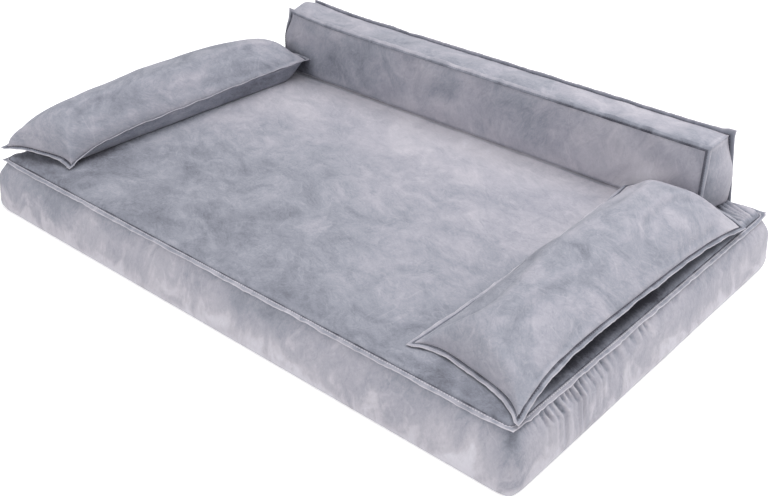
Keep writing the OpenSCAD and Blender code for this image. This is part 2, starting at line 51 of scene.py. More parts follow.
# Maths that every piece uses

def reach(node):
    """Lowest and highest corner of a CAD node."""
    low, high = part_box(node)
    return np.array(low), np.array(high)


def smooth(low, high, x):
    """0 below low, 1 above high and a smooth step between them."""
    t = np.clip((x - low) / (high - low), 0, 1)
    return t * t * (3 - 2 * t)


def mix(a, b, t):
    return a + (b - a) * t


def joined(x, y, z):
    """Points or directions from their three parts."""
    return np.stack(np.broadcast_arrays(x, y, z), axis=-1)


def fading(distance, span):
    """1 at no distance, falling off to 0 over a few spans."""
    return np.exp(-distance / span)


def spot(distance, radius):
    """1 at no distance, falling off like a bell about two radii wide."""
    return np.exp(-(distance / radius) ** 2)


def swell(t, power=2.0):
    """0 at both ends of a span and 1 at its middle."""
    return 1 - np.abs(2 * t - 1) ** power


WAVE_COUNT = 14


def waves(points, length, seed):
    """A smooth random undulation, mostly from -1 to 1, whose waves are about length long."""
    rng = np.random.default_rng(seed)
    ways = rng.normal(size=(WAVE_COUNT, 3))
    ways /= np.linalg.norm(ways, axis=1)[:, None]
    turns = ways * rng.uniform(0.7, 1.5, WAVE_COUNT)[:, None] * math.tau / length
    phases = rng.uniform(0, math.tau, WAVE_COUNT)
    return np.sin(points @ turns.T + phases).sum(axis=-1) * math.sqrt(2 / WAVE_COUNT) / 1.5


def along(points, closed=True):
    """Distance along a path at each of its points, and its whole length."""
    steps = np.linalg.norm(np.roll(points, -1, axis=0) - points, axis=1)
    places = np.concatenate([[0], np.cumsum(steps[:-1])])
    return places, steps.sum() if closed else places[-1]


def even_line(low, high, pitch):
    return np.linspace(low, high, max(2, round((high - low) / pitch) + 1))


def edged_line(half, edge, pitch):
    """Places from -half to half that crowd towards both ends by the steps in edge, and are even between."""
    near = np.cumsum(edge)
    inner = even_line(-half + near[-1], half - near[-1], pitch)
    return np.concatenate([[-half], -half + near[:-1], inner, (half - near[:-1])[::-1], [half]])


def set_tone_and_painted_shading(piece, values):
    """Paints a tone over a piece, its own tone together with painted shade and painted light: below 0 it
    looks darker, above 0 paler.
    """
    layer = piece.data.attributes.new("tone_and_painted_shading", "FLOAT", "POINT")
    layer.data.foreach_set("value", np.asarray(values, float).reshape(-1))


def painted_shading_and_tone_patches(points, patches, axes=(0, 1)):
    """Soft patches of tone and of painted shade and painted light: each of middle, middle, radius, radius and
    amount.
    """
    tone_and_painted_shading = np.zeros(len(points))
    for a, b, radius_a, radius_b, amount in patches:
        away = ((points[:, axes[0]] - a) / radius_a) ** 2 + ((points[:, axes[1]] - b) / radius_b) ** 2
        tone_and_painted_shading += amount * np.exp(-away)
    return tone_and_painted_shading


def mesh_values(mesh, name):
    """A vector that each vertex has, such as co or normal."""
    values = np.empty(len(mesh.vertices) * 3)
    mesh.vertices.foreach_get(name, values)
    return values.reshape(-1, 3)


def neighbours(mesh):
    """Both ends of every edge, each way round, and how many edges meet at each vertex."""
    ends = np.empty(len(mesh.edges) * 2, int)
    mesh.edges.foreach_get("vertices", ends)
    ends = ends.reshape(-1, 2)
    a, b = np.concatenate([ends, ends[:, ::-1]]).T
    return a, b, np.bincount(a, minlength=len(mesh.vertices))


def around(values, a, b, links):
    """The mean of the values at each vertex's neighbours."""
    sums = np.stack([np.bincount(a, column[b], len(links)) for column in values.T], axis=1)
    return sums / links[:, None]


def paint_crease_shading(piece, strength):
    """Adds painted shading to a piece's tone: paler on ridges, a painted highlight, and darker in valleys, a
    painted shade.
    """
    mesh = piece.data
    points, normals = mesh_values(mesh, "co"), mesh_values(mesh, "normal")
    a, b, links = neighbours(mesh)
    spacing = np.bincount(a, np.linalg.norm(points[a] - points[b], axis=1), len(links)) / links
    bend = ((points - around(points, a, b, links)) * normals).sum(axis=1) / spacing ** 2
    for _ in range(CREASE_SHADING_ROUNDS):
        bend = (bend + np.bincount(a, bend[b], len(links)) / links) / 2
    old = np.zeros(len(links))
    mesh.attributes["tone_and_painted_shading"].data.foreach_get("value", old)
    mesh.attributes.remove(mesh.attributes["tone_and_painted_shading"])
    set_tone_and_painted_shading(piece, old + strength * np.clip(bend * CREASE_SHADING_PER_BEND, -CREASE_SHADING_LIMIT, CREASE_SHADING_LIMIT))


# How much painted light or shade each bend of a metre's radius adds, the most that it adds, and how often
# bends are evened out
CREASE_SHADING_PER_BEND = 4.0 * MM
CREASE_SHADING_LIMIT = 0.32
CREASE_SHADING_ROUNDS = 3


# Mesh building

def make_object(name, points, faces, material, body, smooth_faces=True):
    """A mesh piece that rides on a body."""
    mesh = bpy.data.meshes.new(name)
    mesh.from_pydata(np.asarray(points).tolist(), [], [list(map(int, f)) for f in faces])
    mesh.validate()
    mesh.polygons.foreach_set("use_smooth", [smooth_faces] * len(mesh.polygons))
    mesh.materials.append(MATERIALS[material])
    piece = linked(name, mesh)
    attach(piece, body)
    return piece


def linked(name, data):
    """A new object in the scene."""
    made = bpy.data.objects.new(name, data)
    bpy.context.scene.collection.objects.link(made)
    return made


def grid_faces(index, flip=False):
    """Quads of a grid of point numbers."""
    a, b, c, d = index[:-1, :-1], index[1:, :-1], index[1:, 1:], index[:-1, 1:]
    quads = np.stack([a, b, c, d], axis=-1).reshape(-1, 4)
    return quads[:, ::-1] if flip else quads


def loop_faces(index, flip=False):
    """Quads between successive rows of point numbers, each row a closed loop."""
    return grid_faces(np.concatenate([index, index[:, :1]], axis=1), flip)


def tube_faces(index, flip=False):
    """Quads round a tube whose rows of point numbers run along it, and its two end faces."""
    ends = [index[:, 0], index[:, -1][::-1]]
    if flip:
        ends = [end[::-1] for end in ends]
    return list(grid_faces(np.concatenate([index, index[:1]]), flip)) + ends


def numbered(first, *shape):
    """A grid of point numbers that count on from the first."""
    return first + np.arange(math.prod(shape)).reshape(shape)


def shifted(faces, first, flip=False):
    """A copy of faces whose point numbers count on from the first."""
    return [first + (face[::-1] if flip else face) for face in faces]


def border(nx, ny):
    """Both places of the points round a grid's edge, anticlockwise from its low corner."""
    return tuple(np.array(
        [(i, 0) for i in range(nx)]
        + [(nx, j) for j in range(ny)]
        + [(i, ny) for i in range(nx, 0, -1)]
        + [(0, j) for j in range(ny, 0, -1)]
    ).T)


def crease(x):
    """A fold's section: a valley at 0 with a shoulder on each side."""
    return -np.exp(-x * x) + 0.45 * (np.exp(-(x - 1.7) ** 2) + np.exp(-(x + 1.7) ** 2))


def fold_row(rng, first, last, pitch, depth, length, lean):
    """Gathers along a seam: each has a place, a lean, a length, a width and a depth."""
    folds = []
    place = first
    while place < last:
        folds.append((
            place,
            lean + rng.uniform(-0.15, 0.15),
            length * rng.uniform(0.45, 1.1),
            pitch * rng.uniform(0.16, 0.36),
            depth * rng.uniform(0.35, 1.0),
        ))
        place += pitch * rng.uniform(0.6, 1.5)
    return folds


# Where a gather starts to lean, how soon it rises below the seam, and how far down it is twice as wide
GATHER_LEANS_AT = 8 * MM
GATHER_RISE = 3 * MM
GATHER_WIDENS = 60 * MM


def gathered(place, below, folds):
    """How far gathers push a cover out, at places along a seam and distances below it."""
    depth = np.zeros(np.broadcast(place, below).shape)
    for at, lean, length, width, strength in folds:
        across = place - at - lean * np.maximum(below - GATHER_LEANS_AT, 0)
        fade = smooth(0, GATHER_RISE, below) * (1 - smooth(0.3 * length, length, below))
        depth += strength * fade * crease(across / (width * (1 + below / GATHER_WIDENS)))
    return depth


# Materials

def new_material(name):
    material = bpy.data.materials.new(name)
    material.use_nodes = True
    return material, material.node_tree


def add_node(tree, kind, values=None, **settings):
    """A shader node with its settings and its socket values; a value may be another node's socket."""
    made = tree.nodes.new(kind)
    for key, value in settings.items():
        setattr(made, key, value)
    for key, value in (values or {}).items():
        if isinstance(value, bpy.types.NodeSocket):
            tree.links.new(value, made.inputs[key])
        else:
            made.inputs[key].default_value = value
    return made


def math_node(tree, operation, *values):
    return add_node(tree, "ShaderNodeMath", dict(enumerate(values)), operation=operation).outputs[0]


def noise(tree, coords, scale, detail=3.0, rough=0.55, warp=0.0):
    return add_node(tree, "ShaderNodeTexNoise", {
        "Vector": coords, "Scale": scale, "Detail": detail, "Roughness": rough, "Distortion": warp,
    }).outputs["Fac"]


def place_coords(tree, turn=(0, 0, 0), stretch=(1, 1, 1), shift=(0, 0, 0)):
    """The piece's own coordinates in metres, turned and stretched."""
    own = add_node(tree, "ShaderNodeTexCoord").outputs["Object"]
    turned = add_node(tree, "ShaderNodeMapping", {"Vector": own, "Rotation": turn, "Location": shift})
    return add_node(
        tree, "ShaderNodeMapping", {"Vector": turned.outputs[0], "Scale": stretch}
    ).outputs[0]


def map_range(tree, value, low, high, to_low=0.0, to_high=1.0, soft=False):
    """The value's share of the way from low to high, laid over another range and held at its ends."""
    return add_node(tree, "ShaderNodeMapRange", {
        "Value": value, "From Min": low, "From Max": high, "To Min": to_low, "To Max": to_high,
    }, interpolation_type="SMOOTHSTEP" if soft else "LINEAR").outputs[0]


def seen_directly(tree):
    """1 on rays from the camera and on mirrored ones, 0 on the rest."""
    path = add_node(tree, "ShaderNodeLightPath")
    return math_node(tree, "MAXIMUM", path.outputs["Is Camera Ray"], path.outputs["Is Glossy Ray"])


def ramp(tree, factor, *stops):
    """A colour ramp of (place, colour) stops."""
    made = add_node(tree, "ShaderNodeValToRGB", {"Fac": factor})
    band = made.color_ramp
    while len(band.elements) < len(stops):
        band.elements.new(0.5)
    for element, (place, colour) in zip(band.elements, stops):
        element.position = place
        element.color = (*colour, 1)
    return made.outputs["Color"]


def principled(tree, colour, **values):
    shader = tree.nodes["Principled BSDF"]
    tree.links.new(colour, shader.inputs["Base Color"])
    for key, value in values.items():
        socket = shader.inputs[key.replace("_", " ")]
        if isinstance(value, bpy.types.NodeSocket):
            tree.links.new(value, socket)
        else:
            socket.default_value = value
    return shader


def bump(tree, height, distance, strength=1.0, under=None):
    values = {"Height": height, "Distance": distance, "Strength": strength}
    if under is not None:
        values["Normal"] = under
    return add_node(tree, "ShaderNodeBump", values).outputs["Normal"]


# The velvet's colours along its tone, from the darkest, which painted shade reaches, to the palest, which
# painted light reaches
VELVET_SHADE = (0.060, 0.060, 0.077)
VELVET_DEEP = (0.205, 0.214, 0.256)
VELVET_BLUE = (0.300, 0.308, 0.358)
VELVET_MID = (0.372, 0.366, 0.420)
VELVET_PALE = (0.500, 0.482, 0.530)
VELVET_LIGHT = (0.640, 0.624, 0.680)


def brushed_noise(tree, turn, shift, scale, stretch, warp):
    """A noise whose strokes run two ways, each way in patches of its own."""
    ways = []
    for extra in (0.0, 1.25):
        turned = tuple(angle + extra for angle in turn)
        coords = place_coords(tree, turn=turned, stretch=(1, stretch, 0.8 * stretch), shift=shift)
        ways.append(noise(tree, coords, scale, 4.0, 0.6, warp))
    where = noise(tree, place_coords(tree, shift=shift), 13, 1.0, 0.5, 0.6)
    share = map_range(tree, where, 0.42, 0.58, soft=True)
    return add_node(tree, "ShaderNodeMix", {0: share, 2: ways[0], 3: ways[1]}, data_type="FLOAT").outputs[0]


def crush_marks(tree, coords):
    """Thin curved marks where the pile was crushed, here and there: 1 on a mark and 0 off it."""
    bent = noise(tree, coords, 7.5, 2.0, 0.5, 1.6)
    gap = math_node(tree, "ABSOLUTE", math_node(tree, "SUBTRACT", bent, 0.5))
    line = map_range(tree, gap, 0.0, 0.02, 1.0, 0.0, soft=True)
    some = map_range(tree, noise(tree, coords, 19, 1.0, 0.5), 0.5, 0.62, soft=True)
    return math_node(tree, "MULTIPLY", line, some)


def velvet(name, tone=0.5, turn=(0, 0, 0), shift=(0, 0, 0), painted_floor_light_z=None, contrast=1.0):
    """Crushed velvet: clouds of leaning pile, brush strokes along turn's X, and a fine nap.
    tone moves the whole piece between the shades, and each piece's painted shading is added to it; below a
    height, if one is given, the cloth is painted paler: painted light from the floor."""
    material, tree = new_material(name)
    flat = place_coords(tree, shift=shift)
    clouds = noise(tree, flat, 5.5, 2.0, 0.5, 0.4)
    patches = brushed_noise(tree, turn, shift, 13, 1.7, 1.1)
    strokes = brushed_noise(tree, turn, shift, 48, 2.3, 1.8)
    fine = brushed_noise(tree, turn, shift, 115, 3.0, 1.2)
    nap = noise(tree, flat, 420, 2.0, 0.7)
    total = math_node(tree, "MULTIPLY_ADD", crush_marks(tree, flat), 0.12 * contrast, tone)
    for part, weight in ((clouds, 1.0), (patches, 0.95), (strokes, 0.5), (fine, 0.3), (nap, 0.24)):
        centred = math_node(tree, "SUBTRACT", part, 0.5)
        total = math_node(tree, "MULTIPLY_ADD", centred, weight * contrast, total)
    # Each piece's tone with its painted shade and painted light, read from the piece
    tone_and_painted_shading = add_node(tree, "ShaderNodeAttribute", attribute_name="tone_and_painted_shading").outputs["Fac"]
    total = math_node(tree, "ADD", total, tone_and_painted_shading)
    # Painted light from the floor: paler below the height, with a ragged edge
    if painted_floor_light_z is not None:
        height = add_node(tree, "ShaderNodeSeparateXYZ", {0: flat}).outputs["Z"]
        rise = math_node(tree, "MULTIPLY_ADD", math_node(tree, "SUBTRACT", patches, 0.5), 0.2, painted_floor_light_z)
        under = math_node(tree, "SUBTRACT", rise, height)
        band = map_range(tree, under, -12 * MM, 30 * MM, 0.0, 0.34, soft=True)
        total = math_node(tree, "ADD", total, band)
    colour = ramp(
        tree, math_node(tree, "MULTIPLY_ADD", total, 0.5, 0.25),
        (0.05, VELVET_SHADE), (0.29, VELVET_DEEP), (0.43, VELVET_BLUE),
        (0.53, VELVET_MID), (0.72, VELVET_PALE), (1.0, VELVET_LIGHT),
    )
    pile = bump(tree, nap, 0.25 * MM, 0.5)
    normal = bump(tree, strokes, 1.6 * MM, 0.5, pile)
    principled(
        tree, colour, Roughness=0.86, Normal=normal, Specular_IOR_Level=0.18,
        Sheen_Weight=0.26, Sheen_Roughness=0.38, Sheen_Tint=(0.88, 0.87, 0.93, 1),
    )
    return material


def woven(name, dark, light, pitch=1.1 * MM, rough=0.9):
    """A plain weave of two threads."""
    material, tree = new_material(name)
    coords = place_coords(tree)
    split = add_node(tree, "ShaderNodeSeparateXYZ", {0: coords})
    sines = [
        math_node(tree, "SINE", math_node(tree, "MULTIPLY", split.outputs[axis], math.tau / pitch))
        for axis in ("X", "Y", "Z")
    ]
    weave = math_node(tree, "MULTIPLY", sines[0], math_node(tree, "ADD", sines[1], sines[2]))
    worn = noise(tree, coords, 60, 3.0)
    factor = math_node(tree, "MULTIPLY_ADD", weave, 0.18, worn)
    colour = ramp(tree, factor, (0.3, dark), (0.75, light))
    principled(tree, colour, Roughness=rough, Normal=bump(tree, weave, 0.15 * MM, 0.6))
    return material


def moulded(name, dark, light, rough, metal=0.0):
    """Moulded nylon or painted metal, with fine orange peel and rubbed spots."""
    material, tree = new_material(name)
    coords = place_coords(tree)
    rubbed = noise(tree, coords, 350, 4.0, 0.6)
    colour = ramp(tree, rubbed, (0.35, dark), (0.7, light))
    gloss = map_range(tree, rubbed, 0.3, 0.7, rough - 0.1, rough + 0.1)
    peel = bump(tree, noise(tree, coords, 1800, 2.0), 0.05 * MM, 0.4)
    principled(tree, colour, Roughness=gloss, Metallic=metal, Normal=peel)
    return material


MATERIALS = {
    "top": velvet("velvet_top", 0.50, turn=(0, 0, 0.5)),
    "boxing": velvet("velvet_boxing", 0.49, turn=(0.2, 1.2, 0.3), shift=(0.3, 0.1, 0), painted_floor_light_z=0.03),
    "bolster": velvet("velvet_bolster", 0.46, turn=(0.1, 0.9, 0.1), shift=(0.7, 0.2, 0.4)),
    "left_pillow": velvet("velvet_left_pillow", 0.33, turn=(0, 0, 1.1), shift=(0.1, 0.8, 0.3)),
    "right_pillow": velvet("velvet_right_pillow", 0.40, turn=(0, 0, 0.9), shift=(0.5, 0.5, 0.9)),
    "flange": velvet("velvet_flange", 0.52, turn=(0, 0, 0.2), contrast=0.6),
    # The rear flange's velvet is a darker copy of the flange's: painted shade
    "flange_painted_shade": velvet("velvet_flange_painted_shade", 0.22, turn=(0, 0, 0.2), contrast=0.4),
    "thread": woven("sewing_thread", (0.16, 0.165, 0.21), (0.27, 0.27, 0.33), 0.5 * MM),
    "base": woven("base_cloth", (0.035, 0.035, 0.045), (0.075, 0.075, 0.09), 1.6 * MM),
    "grip": moulded("grip_dots", (0.03, 0.03, 0.035), (0.05, 0.05, 0.055), 0.55),
    "tape": woven("zip_tape", (0.12, 0.125, 0.16), (0.2, 0.205, 0.25), 0.9 * MM),
    "teeth": moulded("zip_teeth", (0.1, 0.105, 0.13), (0.16, 0.165, 0.2), 0.4),
    "metal": moulded("zip_metal", (0.22, 0.22, 0.235), (0.36, 0.36, 0.375), 0.36, 0.85),
    "loop": woven("loop_tape", (0.045, 0.045, 0.055), (0.1, 0.1, 0.12), 2.2 * MM),
    "hook": woven("hook_tape", (0.03, 0.03, 0.04), (0.08, 0.08, 0.1), 1.4 * MM, 0.6),
}

# Flange sections: shares of the width from the seam and of the half thickness, and the painted shading.
# A plain one has painted shade in the groove at its seam and a painted highlight on its free edge, a ridged
# one a painted highlight on a ridge at its seam too, a folded one softer painted shade in its groove and a
# dull edge, and a shaded one is painted dark at its seam and pale at its free edge, and turns its dark side
# to the front
FLANGE_SECTIONS = {
    "plain": (
        (-0.3, 0.35, -0.75), (0.06, 0.4, -0.75), (0.2, 0.5, -0.65), (0.33, 0.85, -0.2),
        (0.56, 0.95, -0.14), (0.78, 0.85, -0.12), (0.92, 0.55, 0.5),
    ),
    "ridged": (
        (-0.3, 0.35, -0.8), (0.0, 0.4, -0.8), (0.08, 0.7, 0.2), (0.2, 0.9, 0.65), (0.3, 0.75, 0.1),
        (0.38, 0.65, -0.25), (0.52, 0.85, -0.1), (0.78, 0.85, -0.05), (0.93, 0.55, 0.65),
    ),
    "folded": (
        (-0.3, 0.35, -0.45), (0.02, 0.4, -0.45), (0.14, 0.5, -0.3), (0.3, 0.8, -0.04),
        (0.55, 0.9, 0.0), (0.82, 0.8, 0.02), (0.96, 0.5, 0.12),
    ),
    "shaded": (
        (-0.3, 0.35, -0.5), (0.05, 0.5, -0.4), (0.2, 0.8, -0.2), (0.4, 0.95, 0.0),
        (0.6, 0.95, 0.1), (0.82, 0.8, 0.3), (0.96, 0.5, 0.5),
    ),
}
STITCH_SHARE = 0.17
STITCH_PITCH = 4.2 * MM
STITCH_LENGTH = 3.1 * MM
STITCH_HALF = 0.36 * MM


def sewn_flange(
    name, body, root, out, normal, width, half, seed, closed=True, ripple=0.12, material="flange",
    form="plain", plainness=0.0, shade=0.0,
):
    """A flat flange along a seam, with a row of stitches near its root.
    out points away from the seam in the flange's plane, and is longer at a mitred corner.
    plainness, from 0 to 1, fades the painted shading from that of its form to that of a plain one, and
    shade, more painted shade or light, is added to it."""
    lean = ripple * (waves(root, 60 * MM, seed) + 0.6 * waves(root, 24 * MM, seed + 1))
    lean = lean[:, None]
    width = width * (1 + 0.07 * waves(root, 45 * MM, seed + 2) + 0.05 * waves(root, 14 * MM, seed + 3))
    width = width[:, None]
    leaning = out * np.cos(lean) + normal * np.sin(lean) * np.linalg.norm(out, axis=1)[:, None]
    facing = normal * np.cos(lean) - out * np.sin(lean)
    facing /= np.linalg.norm(facing, axis=1)[:, None]
    upper = FLANGE_SECTIONS[form]
    section = [*upper, (1.0, 0.0, upper[-1][2]), *((w, -t, p) for w, t, p in upper[::-1])]
    plain = np.interp([w for w, t, p in section], *zip(*((w, p) for w, t, p in FLANGE_SECTIONS["plain"])))
    rows = [root + leaning * width * w + facing * half * t for w, t, p in section]
    index = numbered(0, len(rows), len(root))
    if closed:
        faces = loop_faces(np.concatenate([index, index[:1]]), flip=True)
    else:
        faces = tube_faces(index, flip=True)
    piece = make_object(name, np.concatenate(rows), faces, material, body)
    # The section's painted shade and highlight, with a random tone along the flange
    worn = 0.1 * waves(root, 12 * MM, seed + 4) + 0.08 * waves(root, 35 * MM, seed + 5)
    own = np.array([p for w, t, p in section])
    set_tone_and_painted_shading(piece, mix(own[:, None], plain[:, None], plainness) + worn + shade)
    line = root + leaning * width * STITCH_SHARE + facing * half * 0.66
    stitches(f"{name}_stitches", body, line, facing, closed)
    return piece


def stitches(name, body, line, facing, closed=True):
    """A row of thread stitches along a line on a cover."""
    places, total = along(line, closed)
    if closed:
        line = np.concatenate([line, line[:1]])
        facing = np.concatenate([facing, facing[:1]])
        places = np.concatenate([places, [total]])
    starts = np.arange(STITCH_PITCH / 2, total - STITCH_PITCH / 2, STITCH_PITCH)

    def at(where, values):
        return np.stack([np.interp(where, places, values[:, k]) for k in range(3)], axis=1)

    head, tail = at(starts, line), at(starts + STITCH_LENGTH, line)
    up = at(starts, facing)
    side = np.cross(tail - head, up)
    side /= np.linalg.norm(side, axis=1)[:, None]
    rings = []
    for share, size in ((0, 0.2), (0.2, 0.9), (0.5, 1.15), (0.8, 0.9), (1, 0.2)):
        middle = mix(head, tail, share) + up * STITCH_HALF * (size - 0.6)
        for k in range(5):
            angle = math.tau * k / 5
            rings.append(middle + STITCH_HALF * size * (side * math.cos(angle) + up * math.sin(angle)))
    points = np.stack(rings, axis=1).reshape(-1, 3)
    bead = numbered(0, 5, 5)
    faces = list(loop_faces(bead)) + [bead[0], bead[-1][::-1]]
    beads = [face for k in range(len(starts)) for face in shifted(faces, k * bead.size)]
    make_object(name, points, beads, "thread", body)


# Cloth simulation

cloth_jobs = []


def as_cloth(piece, pinned, pressure, slack, cap, bending=0.5):
    """Marks a piece for the cloth run: pinned points stay, slack is how much larger the cloth is cut."""
    group = piece.vertex_groups.new(name="pinned")
    group.add([int(k) for k in np.flatnonzero(pinned)], 1.0, "REPLACE")
    cloth = piece.modifiers.new("Cloth", "CLOTH")
    settings = cloth.settings
    settings.quality = 6
    settings.mass = 0.3
    settings.tension_stiffness = 22
    settings.compression_stiffness = 22
    settings.shear_stiffness = 8
    settings.bending_stiffness = bending
    settings.use_pressure = True
    settings.uniform_pressure_force = pressure
    settings.shrink_min = -slack
    settings.vertex_group_mass = group.name
    settings.effector_weights.gravity = 0
    cloth.collision_settings.use_collision = False
    cloth.point_cache.frame_start = 1
    cloth.point_cache.frame_end = CLOTH_FRAMES
    cloth_jobs.append((piece, cap))


CLOTH_FRAMES = 20
EVEN_ROUNDS = 10
STILL_UNDER = 0.01 * MM


def evened(mesh, step):
    """Moves that are averaged with their neighbours', with points that stayed kept still."""
    a, b, links = neighbours(mesh)
    still = (np.linalg.norm(step, axis=1) < STILL_UNDER)[:, None]
    for _ in range(EVEN_ROUNDS):
        step = np.where(still, step, (step + around(step, a, b, links)) / 2)
    return step


def run_cloth(floor_z):
    """Runs every marked piece, caps how far its points move and keeps them above what it lies on."""
    scene = bpy.context.scene
    scene.frame_start, scene.frame_end = 1, CLOTH_FRAMES
    for step in range(1, CLOTH_FRAMES + 1):
        scene.frame_set(step)
    graph = bpy.context.evaluated_depsgraph_get()
    for piece, cap in cloth_jobs:
        mesh = piece.data
        rest = mesh_values(mesh, "co")
        moved = mesh_values(piece.evaluated_get(graph).data, "co")
        step = evened(mesh, moved - rest)
        size = np.linalg.norm(step, axis=1)[:, None]
        limit = np.broadcast_to(np.asarray(cap), len(rest))[:, None]
        moved = rest + step * np.minimum(1, limit / np.maximum(size, 1e-9))
        moved[:, 2] = np.maximum(moved[:, 2], np.minimum(rest[:, 2], floor_z))
        piece.modifiers.clear()
        piece.vertex_groups.clear()
        mesh.vertices.foreach_set("co", moved.reshape(-1))
        mesh.update()
        refine(piece)
    scene.frame_set(1)


def refine(piece):
    """One subdivision, applied."""
    piece.modifiers.new("Fine", "SUBSURF").levels = 1
    apply_modifiers(piece)


def apply_modifiers(piece):
    bpy.context.view_layer.update()
    made = bpy.data.meshes.new_from_object(piece.evaluated_get(bpy.context.evaluated_depsgraph_get()))
    piece.modifiers.clear()
    piece.data = made


# The mattress

SEAM_X, SEAM_Y, TOP_Z = reach("mattress_top_panel")[1]
SEAM_Z = reach("mattress_top_panel")[0][2]
FABRIC_SWELL = 5 * MM
BELLY_OUT = reach("mattress_right_boxing")[1][0] - SEAM_X + FABRIC_SWELL
FLOOR_OUT = reach("mattress_bottom_panel")[1][0] - SEAM_X + 6 * MM + FABRIC_SWELL
BELLY_Z = 25 * MM
TUCK_Z = 14 * MM
CORNER_R = 10 * MM
ROLL_W = 9 * MM
EDGE_STEPS = (1.3 * MM, 1.9 * MM, 2.6 * MM, 3.2 * MM)
FLANGE_W = 7.5 * MM
FLANGE_HALF = 1.0 * MM
REAR_ZIP = reach("mattress_zip_tapes")
REAR_ZIP_X = REAR_ZIP[1][0]
REAR_ZIP_LOW, REAR_ZIP_HIGH = REAR_ZIP[0][2], REAR_ZIP[1][2]
TAPE_THICK = 0.8 * MM
BEHIND_TAPE = 0.3 * MM
# How square the boxing is round its corners, and how full its section is there and along its sides
BOX_SHARE = 0.62
BELLY_POWERS = (3.4, 2.0)

# Gathers of the boxing below its seam: first and last place, pitch, depth and length in millimetres, and how
# far they lean for each unit of height
MATTRESS_FOLDS = {
    "right": (
        (50, 190, 12, 7.0, 56, 0.45), (60, 230, 50, 1.8, 90, 0.2), (185, 300, 17, 3.0, 38, 0.4),
        (6, 56, 7, 2.8, 20, 0.1), (290, 560, 34, 1.6, 40, 0.25),
    ),
    "left": ((60, 600, 34, 1.2, 50, 0.1),),
    "front": ((15, 980, 40, 0.8, 40, 0.1), (985, 1002, 7, 1.6, 22, -0.1)),
    "rear": ((15, 1000, 34, 0.9, 14, 0.0),),
}


def round_corners(x, y):
    """Moves a square grid's points into the seam's rounded rectangle."""
    cx, cy = SEAM_X - CORNER_R, SEAM_Y - CORNER_R
    u = np.clip((np.abs(x) - cx) / CORNER_R, 0, None)
    v = np.clip((np.abs(y) - cy) / CORNER_R, 0, None)
    in_corner = (u > 0) & (v > 0)
    u_round = np.where(in_corner, u * np.sqrt(1 - v * v / 2), u)
    v_round = np.where(in_corner, v * np.sqrt(1 - u * u / 2), v)
    new_x = np.where(u > 0, np.sign(x) * (cx + CORNER_R * u_round), x)
    new_y = np.where(v > 0, np.sign(y) * (cy + CORNER_R * v_round), y)
    return new_x, new_y, u_round, v_round


def mattress_seam(nx_lines, ny_lines):
    """The seam's points, the direction out of it at each, and their places in the grid."""
    places = border(len(nx_lines) - 1, len(ny_lines) - 1)
    x, y = nx_lines[places[0]], ny_lines[places[1]]
    new_x, new_y, u, v = round_corners(x, y)
    away = joined(np.sign(x) * u, np.sign(y) * v, 0)
    away /= np.linalg.norm(away, axis=1)[:, None]
    return joined(new_x, new_y, SEAM_Z), away, places


def boxing_out(z, seam):
    """How far the boxing stands out of the seam at each height and seam point, most at the corners."""
    z = z[:, None]
    gap_x, gap_y = SEAM_X - np.abs(seam[:, 0]), SEAM_Y - np.abs(seam[:, 1])
    gap = np.maximum(gap_x, gap_y)
    by_zip = smooth(CORNER_R, SEAM_X - REAR_ZIP_X, gap) * (seam[:, 1] > SEAM_Y - 0.1 * MM)
    power = mix(*BELLY_POWERS, np.maximum(smooth(25 * MM, 110 * MM, gap), by_zip))
    above = BELLY_OUT * (1 - (np.clip(z - BELLY_Z, 0, None) / (SEAM_Z - BELLY_Z)) ** power)
    tuck = 1 - np.sqrt(np.clip(1 - (np.clip(TUCK_Z - z, 0, None) / TUCK_Z) ** 2, 0, 1))
    return np.where(z > BELLY_Z, above, BELLY_OUT - (BELLY_OUT - FLOOR_OUT) * tuck)


def squared(out, away, share):
    """Distances out of the seam, grown at its rounded corners by a share of what a square corner adds."""
    size = np.maximum(np.abs(away[:, 0]), np.abs(away[:, 1]))
    full = np.clip(out / BELLY_OUT, 0, 1) * share
    return (CORNER_R + out) * (1 + full * (1 / size - 1)) - CORNER_R


def mattress_folds(seam, away, z):
    """How far folds, creases and slack push the boxing out, at each seam point and height."""
    x, y = seam[:, 0][None], seam[:, 1][None]
    below = SEAM_Z - z[:, None]
    rng = np.random.default_rng(11)
    share = away[:, 0][None], away[:, 1][None]
    sides = {
        "right": (share[0], y + SEAM_Y), "left": (-share[0], SEAM_Y - y),
        "front": (-share[1], x + SEAM_X), "rear": (share[1], SEAM_X - x),
    }
    out = 0
    for side, (facing, places) in sides.items():
        folds = []
        for *sizes, lean in MATTRESS_FOLDS[side]:
            folds += fold_row(rng, *(size * MM for size in sizes), lean)
        out = out + smooth(0.2, 0.9, facing) * gathered(places, below, folds)
    body = np.sin(np.pi * np.clip(below / SEAM_Z, 0, 1))
    points = joined(x, y, z[:, None])
    out += body * (1.5 * MM * waves(points, 210 * MM, 5) + 0.5 * MM * waves(points, 60 * MM, 6))
    corner = np.minimum(np.abs(share[0]), np.abs(share[1]))
    corner_seam = spot(corner - 0.707, 0.16)
    depth = 3.4 * MM * (0.6 + 0.4 * fading(below, 14 * MM))
    out -= depth * corner_seam * smooth(0, 2 * MM, below) * (1 - smooth(0.8 * SEAM_Z, SEAM_Z, below))
    return out


